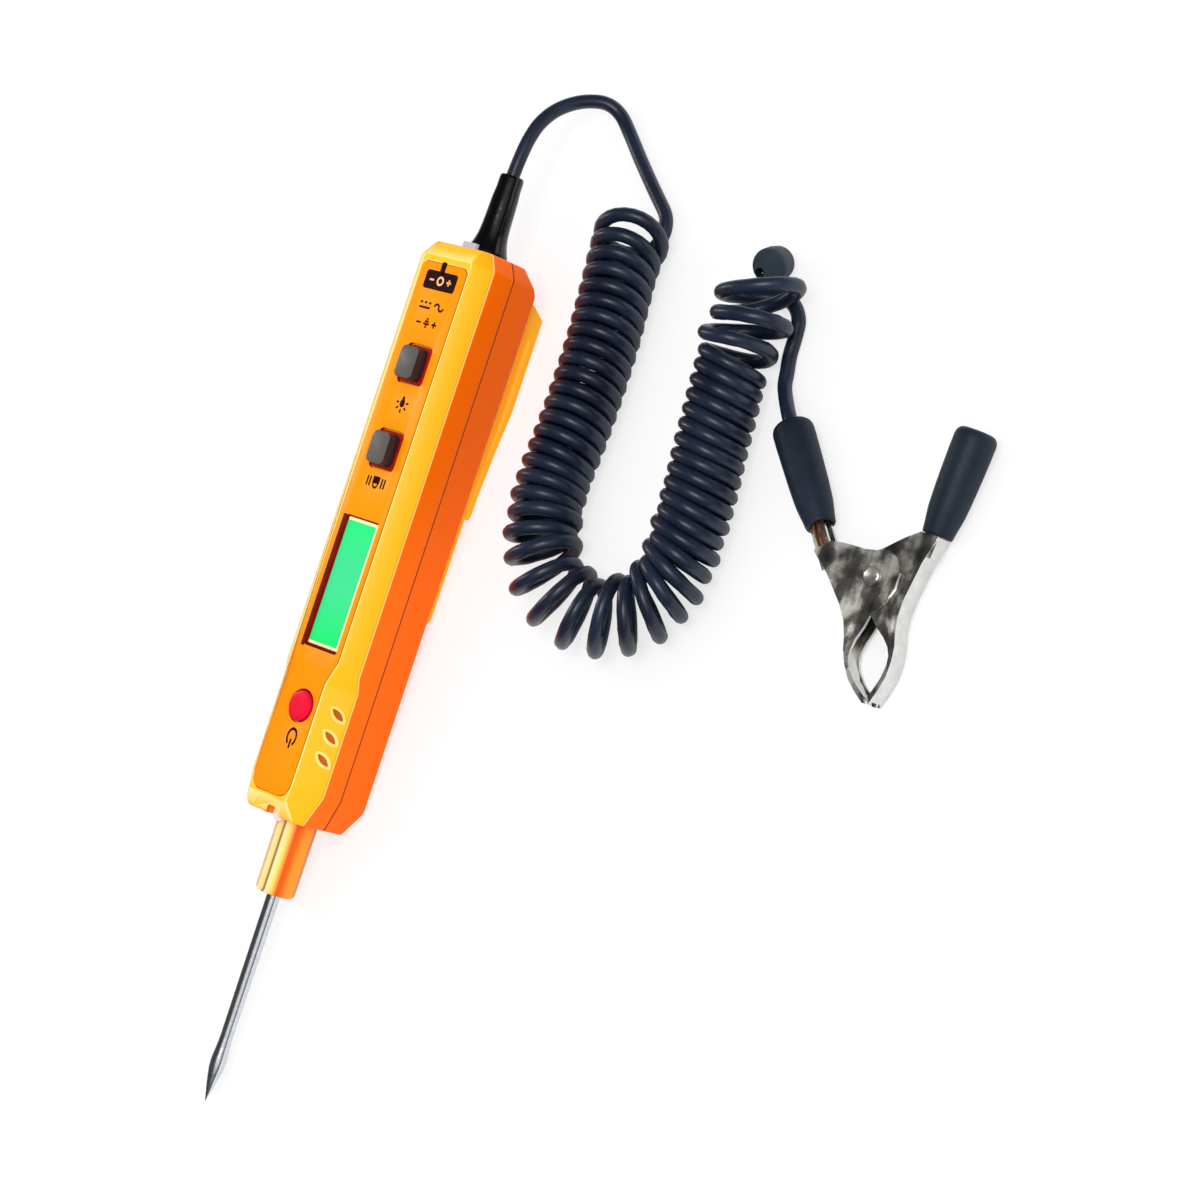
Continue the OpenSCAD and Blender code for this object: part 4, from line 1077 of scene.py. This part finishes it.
# %% Nozzle
GROOVE_ANGLE, GROOVE_DEPTH = 108, 0.94
nozzle = spun([(1.77, -19), (3.8, -19), (4.5, -18.75), (4.85, -18.3), (5.0, -17.6), (5.1, 0), (5.1, 8),
               (1.77, 8), (1.77, -19)], 96)
groove = []
for face in nozzle.faces:
    middle = face.calc_center_median()
    if -17.6 < middle.z < 0 and abs(degrees(atan2(middle.y, middle.x)) - GROOVE_ANGLE) < 2:
        groove.append(face)
for vert in extrude(nozzle, groove):
    vert.co.xy *= GROOVE_DEPTH
bmesh.ops.delete(nozzle, geom=[f for f in groove if f.is_valid], context="FACES_KEEP_BOUNDARY")
place_piece("nozzle_tube", nozzle, "orange_shell", nozzle_abs, "nozzle", where=ALONG_CASE)

# %% Needle
def polished(name, colour, other, rough, streak, depth):
    """Polished metal with fine turning marks round the axis of the case."""
    tree = new_finish(name)
    marks = tree.noise(420, stretch=(1, streak, 1))
    tree.grain(marks, depth, rough)
    tree.set(Base_Color=tree.ramp(marks, (0.3, colour), (0.7, other)), Metallic=1.0)
    return tree.owner


needle_steel = polished("needle_steel", "C9CCD2", "DADDE2", (0.12, 0.2), 5, 0.000003)
needle = spun([(0, 0), (0.18, 0.5), (0.45, 1.6), (0.9, 3.4), (1.35, 5.4), (1.7, 7.1), (1.95, 8.6),
               (2.05, 10.4), (1.98, 11.6), (1.84, 13.2), (1.7, 15), (1.63, 17), (1.66, 24), (1.7, 34),
               (1.74, 42), (1.75, 47.5), (1.75, 80.9), (0, 80.9)])
place_piece("needle", shift(needle, z=NEEDLE_TIP_Y), "nickel_needle", needle_steel, "probe_needle",
            where=ALONG_CASE, smooth_angle=40)

# %% Torch lamp
LAMP_Z, LAMP_R, LEG_R, LEG_X = 6.9, 1.5, 0.3, 1.27
# The faint white glow is a painted highlight on the lamp's dome
lamp_clear = finish("lamp_lens", "FFF6E0", "FFFBF0", (0.1, 0.16), grain=400, depth=0.000003,
                    patches=120, Emission_Strength=0.05, Transmission_Weight=0.35, IOR=1.5)
dome = [(LAMP_R * sin(radians(a)), 0.3 - LAMP_R * cos(radians(a))) for a in range(0, 91, 15)]
lamp = spun([(0, dome[0][1])] + dome[1:] + [(LAMP_R, 4.05), (1.7, 4.05), (1.7, 4.95), (0, 4.95)], 48)
for x in (-LEG_X, LEG_X):
    add_to(lamp, shift(rod(LEG_R, 4.9, 23.5, 12), x, 1))
    foot = rod(LEG_R, 4.6, 5.9, 12)
    foot.transform(moved(x, 6.9, 23.2) @ turned(90, "X"))
    add_to(lamp, foot)
place_piece("torch_lamp", lamp, "lamp_lens", lamp_clear, "torch_led",
            where=CASE @ moved(0, 0, LAMP_Z) @ turned(-90, "X"))

# %% [markdown]
# ## Strain relief and its locking key
# The relief is soft glossy black PVC, moulded with a flared foot that sits in the case. Its mirror
# gloss breaks into lively highlights, because such mouldings are never quite true, so the bump is
# coarser than on the case. The light grey key beside it stops the relief from turning.

# %% Strain relief
relief_black = finish("relief_black", "020203", "060607", (0.1, 0.18), grain=260, depth=0.00008,
                      patches=80, Coat_Weight=0.3, Coat_Roughness=0.03, Specular_IOR_Level=0.3)
relief = spun([(0, -5.6), (5, -5.6), (5, -3.7), (4.4, -3.7), (4.4, 0), (5.2, 0.05), (5.2, 0.9),
               (4.95, 1.5), (4.7, 2.2), (4.4, 3), (4.1, 4), (3.85, 5.2), (3.7, 6.4), (3.58, 8),
               (3.5, 10), (3.42, 12.4), (3.35, 14.7), (3.2, 16.4), (3.1, 17.5), (3.1, 19.9),
               (3.0, 20.4), (2.8, 20.7), (1.9, 20.7), (1.9, 19.6), (0, 19.6)])
place_piece("strain_relief_sleeve", shift(relief, z=CASE_LEN), "relief_black", relief_black,
            "strain_relief", where=ALONG_CASE, smooth_angle=40)
light_grey = finish("light_grey", "B4BCC2", "C2C9CE", depth=0.00001, patches=100)
lock = merged_copy("relief_key", CASE)
round_edges(lock, 0.25, 3, 40)
place_piece("relief_lock", shift(lock, x=1.6), "light_grey", light_grey, "relief_key")

# %% [markdown]
# ## Battery door with the pocket clip, and the screws
# The door and the pocket clip are one moulding on the back. It is the solid's copy with its outside
# edges rounded. The screws are the solids' copies with broken edges.

# %% Door and screws
def outside_back(edge):
    return all(v.co.z < REAR - 0.3 for v in edge.verts) and max(abs(v.co.x) for v in edge.verts) > 9


door = merged_copy("battery_door", CASE)
print("door edges rounded:", round_edges(door, 0.4, 3, 30, outside_back))
place_piece("door_and_pocket_clip", door, "dark_orange_shell", door_abs, "battery_door")
bright_steel = polished("bright_steel", "A8ABB0", "BEC1C6", (0.22, 0.34), 1, 0.000004)
for node in ("door_screw", "case_screws"):
    screw = merged_copy(node, CASE)
    round_edges(screw, 0.12, 2, 60, lambda e: all(abs(v.co.z) > 7 for v in e.verts))
    place_piece(node + "_turned", screw, "bright_steel", bright_steel, node)

# %% [markdown]
# ## The bead at the end of the coil
# A hard bead of dark grey rubber ends the coil and leans back from its last turn. It has a blind
# hole and a raised back band, and it is turned, so it is spun, with the hole cut by a boolean.

# %% Bead
BEAD_LEN = 6.5
bead_rubber = finish("bead_rubber", "222D38", "2E3A46", (0.45, 0.6), grain=700, patches=90,
                     Specular_IOR_Level=0.35)
bead = spun([(0, 0), (3.5, 0), (4.0, 0.6), (4.0, 2.6), (4.3, 3.0), (4.3, 5.9), (4.2, 6.25),
             (3.9, BEAD_LEN), (0, BEAD_LEN)], 48)
bead = combine(bead, shift(rod(1.2, 2.5, 8), 0.3, -2.8))
BEAD = TO_METRES @ moved(79, 113.4, 8) @ turned(-53, "Z") @ turned(32, "Y") @ moved(0, 0, -BEAD_LEN)
coil_bead = place_piece("coil_bead", bead, "grey_rubber", bead_rubber, "cord_bead", where=BEAD)

# %% [markdown]
# ## Crocodile clip
# Each jaw is pressed from one sheet of nickel-plated steel: two cheeks, the back that joins them and
# a channel that the sleeve covers. The solid has the sheet's real thickness, so its copy only needs
# rounded folds. The second jaw is the same shape turned over, on its own body.

# %% Plated sheet
def plated_sheet(name, dark, mid, light):
    """Nickel over brushed steel: cloudy patches and short bright streaks across the cheeks, with the
    cheeks' dark reflections painted into the colour.
    """
    tree = new_finish(name)
    clouds = tree.noise(160, 5)
    both = tree.scaled_sum(tree.noise(300, stretch=(1, 0.16, 1), angle=radians(-70)), 0.55, clouds)
    tree.grain(both, 0.00012, (0.16, 0.36))
    tree.set(Base_Color=tree.ramp(both, (0.56, dark), (0.72, mid), (0.88, light)),
             Roughness=tree.span(clouds, 0.16, 0.36), Metallic=0.88)
    return tree.owner


clip_nickel = plated_sheet("clip_nickel", "53524E", "7C7A74", "EAE6DC")
wall_nickel = polished("wall_nickel", "D4D4D2", "E6E5E2", (0.14, 0.24), 1, 0.000004)
print("finishes of the clip:", clip_nickel.name, wall_nickel.name)

# %% Jaws
CHEEKS_Z = (3.0, -2.1)


def on_fold(edge):
    """The long folds between a cheek and the back."""
    at_cheek = all(min(abs(v.co.z - z) for z in CHEEKS_Z) < 0.05 for v in edge.verts)
    return (at_cheek and min(v.co.x for v in edge.verts) < -0.5
            and any(abs(f.normal.z) < 0.3 and f.normal.x < 0.3 for f in edge.link_faces))


JAWS = ("clip_jaw_fixed", CROC, "tester"), ("clip_jaw_moving", CROC_MOVING, "moving_jaw")
for node, where, body in JAWS:
    jaw = merged_copy(node, where)
    print(node, "folds rounded:", round_edges(jaw, 0.35, 3, 40, on_fold))
    # The upright walls get the bright nickel; the cheeks keep the darker finish with its painted
    # reflections
    paint([f for f in jaw.faces if abs(f.normal.z) < 0.5], 1)
    place_piece(node + "_pressed", jaw, "clip_nickel", [clip_nickel, wall_nickel], node,
                where=where, body=body, smooth_angle=25)

# %% Pivot pin
pin = merged_copy("clip_pin", CROC)
round_edges(pin, 0.08, 2, 50)
place_piece("pivot_pin", pin, "clip_nickel", clip_nickel, "clip_pin", where=CROC)

# %% [markdown]
# ## Insulating sleeves
# The sleeves are dipped PVC, wider in the middle than at the mouth and with a rounded end. They are
# spun round the handle's own axis and then set on it. The fixed jaw's sleeve takes the lead.

# %% Sleeves
SLEEVE_R, SLEEVE_BORE, SLEEVE_END = 4.85, 2.8, 2.4
BLIND_LEN, BLIND_SLIP = 24.6, 1.1


def sleeve(length, lead_hole=0):
    """A sleeve along Z, blind or with a hole for the lead in its end."""
    outside = [(SLEEVE_BORE, 0), (3.3, 0.02), (3.46, 0.2), (3.55, 0.6), (3.75, 2.2), (4.05, 4),
               (4.3, 5.8), (4.45, 8), (4.6, 11), (SLEEVE_R - 0.12, length * 0.6)]
    outside += [(SLEEVE_R - inset, length - back) for inset, back in (
        (0, 5), (0, 2.2), (0.1, 1.4), (0.35, 0.8), (0.8, 0.32), (1.4, 0.08), (2.2, 0))]
    hole = [(lead_hole + 0.25, length), (lead_hole, length - 0.3)] if lead_hole else [(0, length)]
    return spun(outside + hole + [(lead_hole, length - SLEEVE_END), (SLEEVE_BORE, length - SLEEVE_END),
                                  (SLEEVE_BORE, 0)])


def on_handle(slip):
    """The frame of a sleeve that is slipped so far up its handle."""
    return moved(*HANDLE_FOOT) @ turned(HANDLE_ANGLE, "Z") @ turned(-90, "X") @ moved(0, 0, slip)


place_piece("sleeve_on_lead", sleeve(SLEEVE_LEN, 1.78), "lead_blue_black", sleeve_pvc, "sleeve_fixed",
            where=CROC @ on_handle(SLEEVE_SLIP), smooth_angle=50)
place_piece("sleeve_blind", sleeve(BLIND_LEN), "lead_blue_black", sleeve_pvc, "sleeve_moving",
            where=CROC_MOVING @ on_handle(BLIND_SLIP), body="moving_jaw", smooth_angle=50)

# %% [markdown]

# %% [markdown]
# ## Finishes of the pieces that stay as solids
# The parts inside the case keep their solids. Each still gets a finish of its own, so that an opened
# tester looks right: green board, gold springs, black chip, printed battery wrap.

# %% Finishes of the inner parts
chip_black = finish("black_plastic", "101012", "1A1A1C", (0.4, 0.55), patches=200)
cell_wrap = finish("cell_wrap", "30465E", "3C5670", (0.2, 0.3), 0.2)
spring_steel = finish("spring_steel", "A8ACB0", "B8BCC0", (0.2, 0.35), 1.0, patches=90)
inner = {
    "needle_contact": finish("spring_brass", "C8A04C", "D8B25C", (0.2, 0.3), 1.0, patches=90),
    "backlight": finish("white_diffuser", "F0F4F0", "E6EEE8", MATT, patches=40),
    "zebra_strip": finish("zebra_rubber", "2A2A2C", "C0A8A0", MATT, patches=900,
                          stretch=(1, 0.02, 0.02)),
    "circuit_board": finish("board_green", "0E4A24", "16602F", (0.3, 0.45), patches=120,
                            Coat_Weight=0.3),
    "wire_strands": finish("copper", "B06A40", "D08A58", (0.25, 0.4), 1.0, patches=500),
    "clip_spring": finish("spring_wire", "707276", "8A8C90", (0.2, 0.3), 1.0, patches=300),
    "battery_1": cell_wrap, "battery_2": cell_wrap,
    "battery_plate": spring_steel, "battery_spring": spring_steel,
}
for node in ("meter_chip", "buzzer", "light_switch", "hold_switch", "power_switch", "earth_wire"):
    inner[node] = chip_black
for node, material in inner.items():
    nodes[node].data.materials.clear()
    nodes[node].data.materials.append(material)
bare = [name for name, node in nodes.items() if not node.hide_render and name not in inner]
print("solids shown:", len(inner), "and without a finish:", bare)

# %% [markdown]
# ## Table and light
# The table is a wide white sheet that keeps the object's soft shadow. The light is a bright overhead
# panel and an even white room, at a level where a colour renders about as it is written. Polished
# metal needs something dark to reflect, so glossy rays see a dark room whose bright part is high up
# on the right.

# %% Table
TABLE_GLOW, TABLE_R = 0.7, 3


def grey(level):
    return (level, level, level, 1)


def table_finish():
    """White to the camera, and a pale diffuse sheet to everything else, so that it keeps shadows."""
    tree = new_finish("white_table")
    pale = tree.ramp(tree.noise(40, 2), (0.3, grey(0.92)), (0.7, grey(0.94)))
    diffuse = tree.add("BsdfDiffuse", ("Color", pale)).outputs["BSDF"]
    glow = tree.add("Emission", ("Color", grey(1.02))).outputs["Emission"]
    share = tree.span(tree.add("LightPath").outputs["Is Camera Ray"], 0, TABLE_GLOW, 0, 1)
    blend = tree.add("MixShader", (0, share), (1, diffuse), (2, glow))
    tree.feed(tree.nodes["Material Output"].inputs["Surface"], blend.outputs["Shader"])
    return tree.owner


table = bmesh.new()
bmesh.ops.create_circle(table, cap_ends=True, segments=96, radius=TABLE_R)
floor = link_mesh("white_floor", shift(table, 0.07, 0.01, cad_box[0].z - 0.00002))
floor.data.materials.append(table_finish())
print("table:", TABLE_R, "m from its middle to its edge")

# %% Room and lamps
DARK_STOPS = (0.0, grey(0.08)), (0.45, grey(0.05)), (0.8, grey(0.12)), (1.0, grey(1.0))
room = Tree(bpy.data.worlds.new("studio"))
bpy.context.scene.world = room.owner
to_bright_part = room.facing(CAMERA_BACK, room.add("TexCoord").outputs["Generated"])
reflected = room.ramp(to_bright_part, *DARK_STOPS)
seen = room.add("Mix", ("Factor", room.add("LightPath").outputs["Is Glossy Ray"]),
                (6, (0.82, 0.82, 0.83, 1)), (7, reflected), data_type="RGBA")
room.feed(room.nodes["Background"].inputs["Color"], seen.outputs[2])


def panel_light(name, place, target, size, power):
    data = bpy.data.lights.new(name, "AREA")
    data.shape = "RECTANGLE"
    data.size, data.size_y = size
    data.energy = power
    aim = (Vector(target) - Vector(place)).to_track_quat("-Z", "Y")
    add_object(name, data).matrix_world = Matrix.Translation(place) @ aim.to_matrix().to_4x4()


panel_light("overhead_panel", (0.42, 0.05, 0.75), (0.07, 0.02, 0), (0.3, 0.3), 2.6)
panel_light("left_strip", (-0.6, 0.1, 0.35), (0.05, 0.05, 0), (0.05, 0.5), 0.9)
print("table and lights are set")

# %% [markdown]
# ## Colour view
# The render uses the Standard view, so that colours show as they are written. The dressed object has
# to stay inside the solids' box.

# %% Standard view
scene = bpy.context.scene
scene.view_settings.view_transform = "Standard"
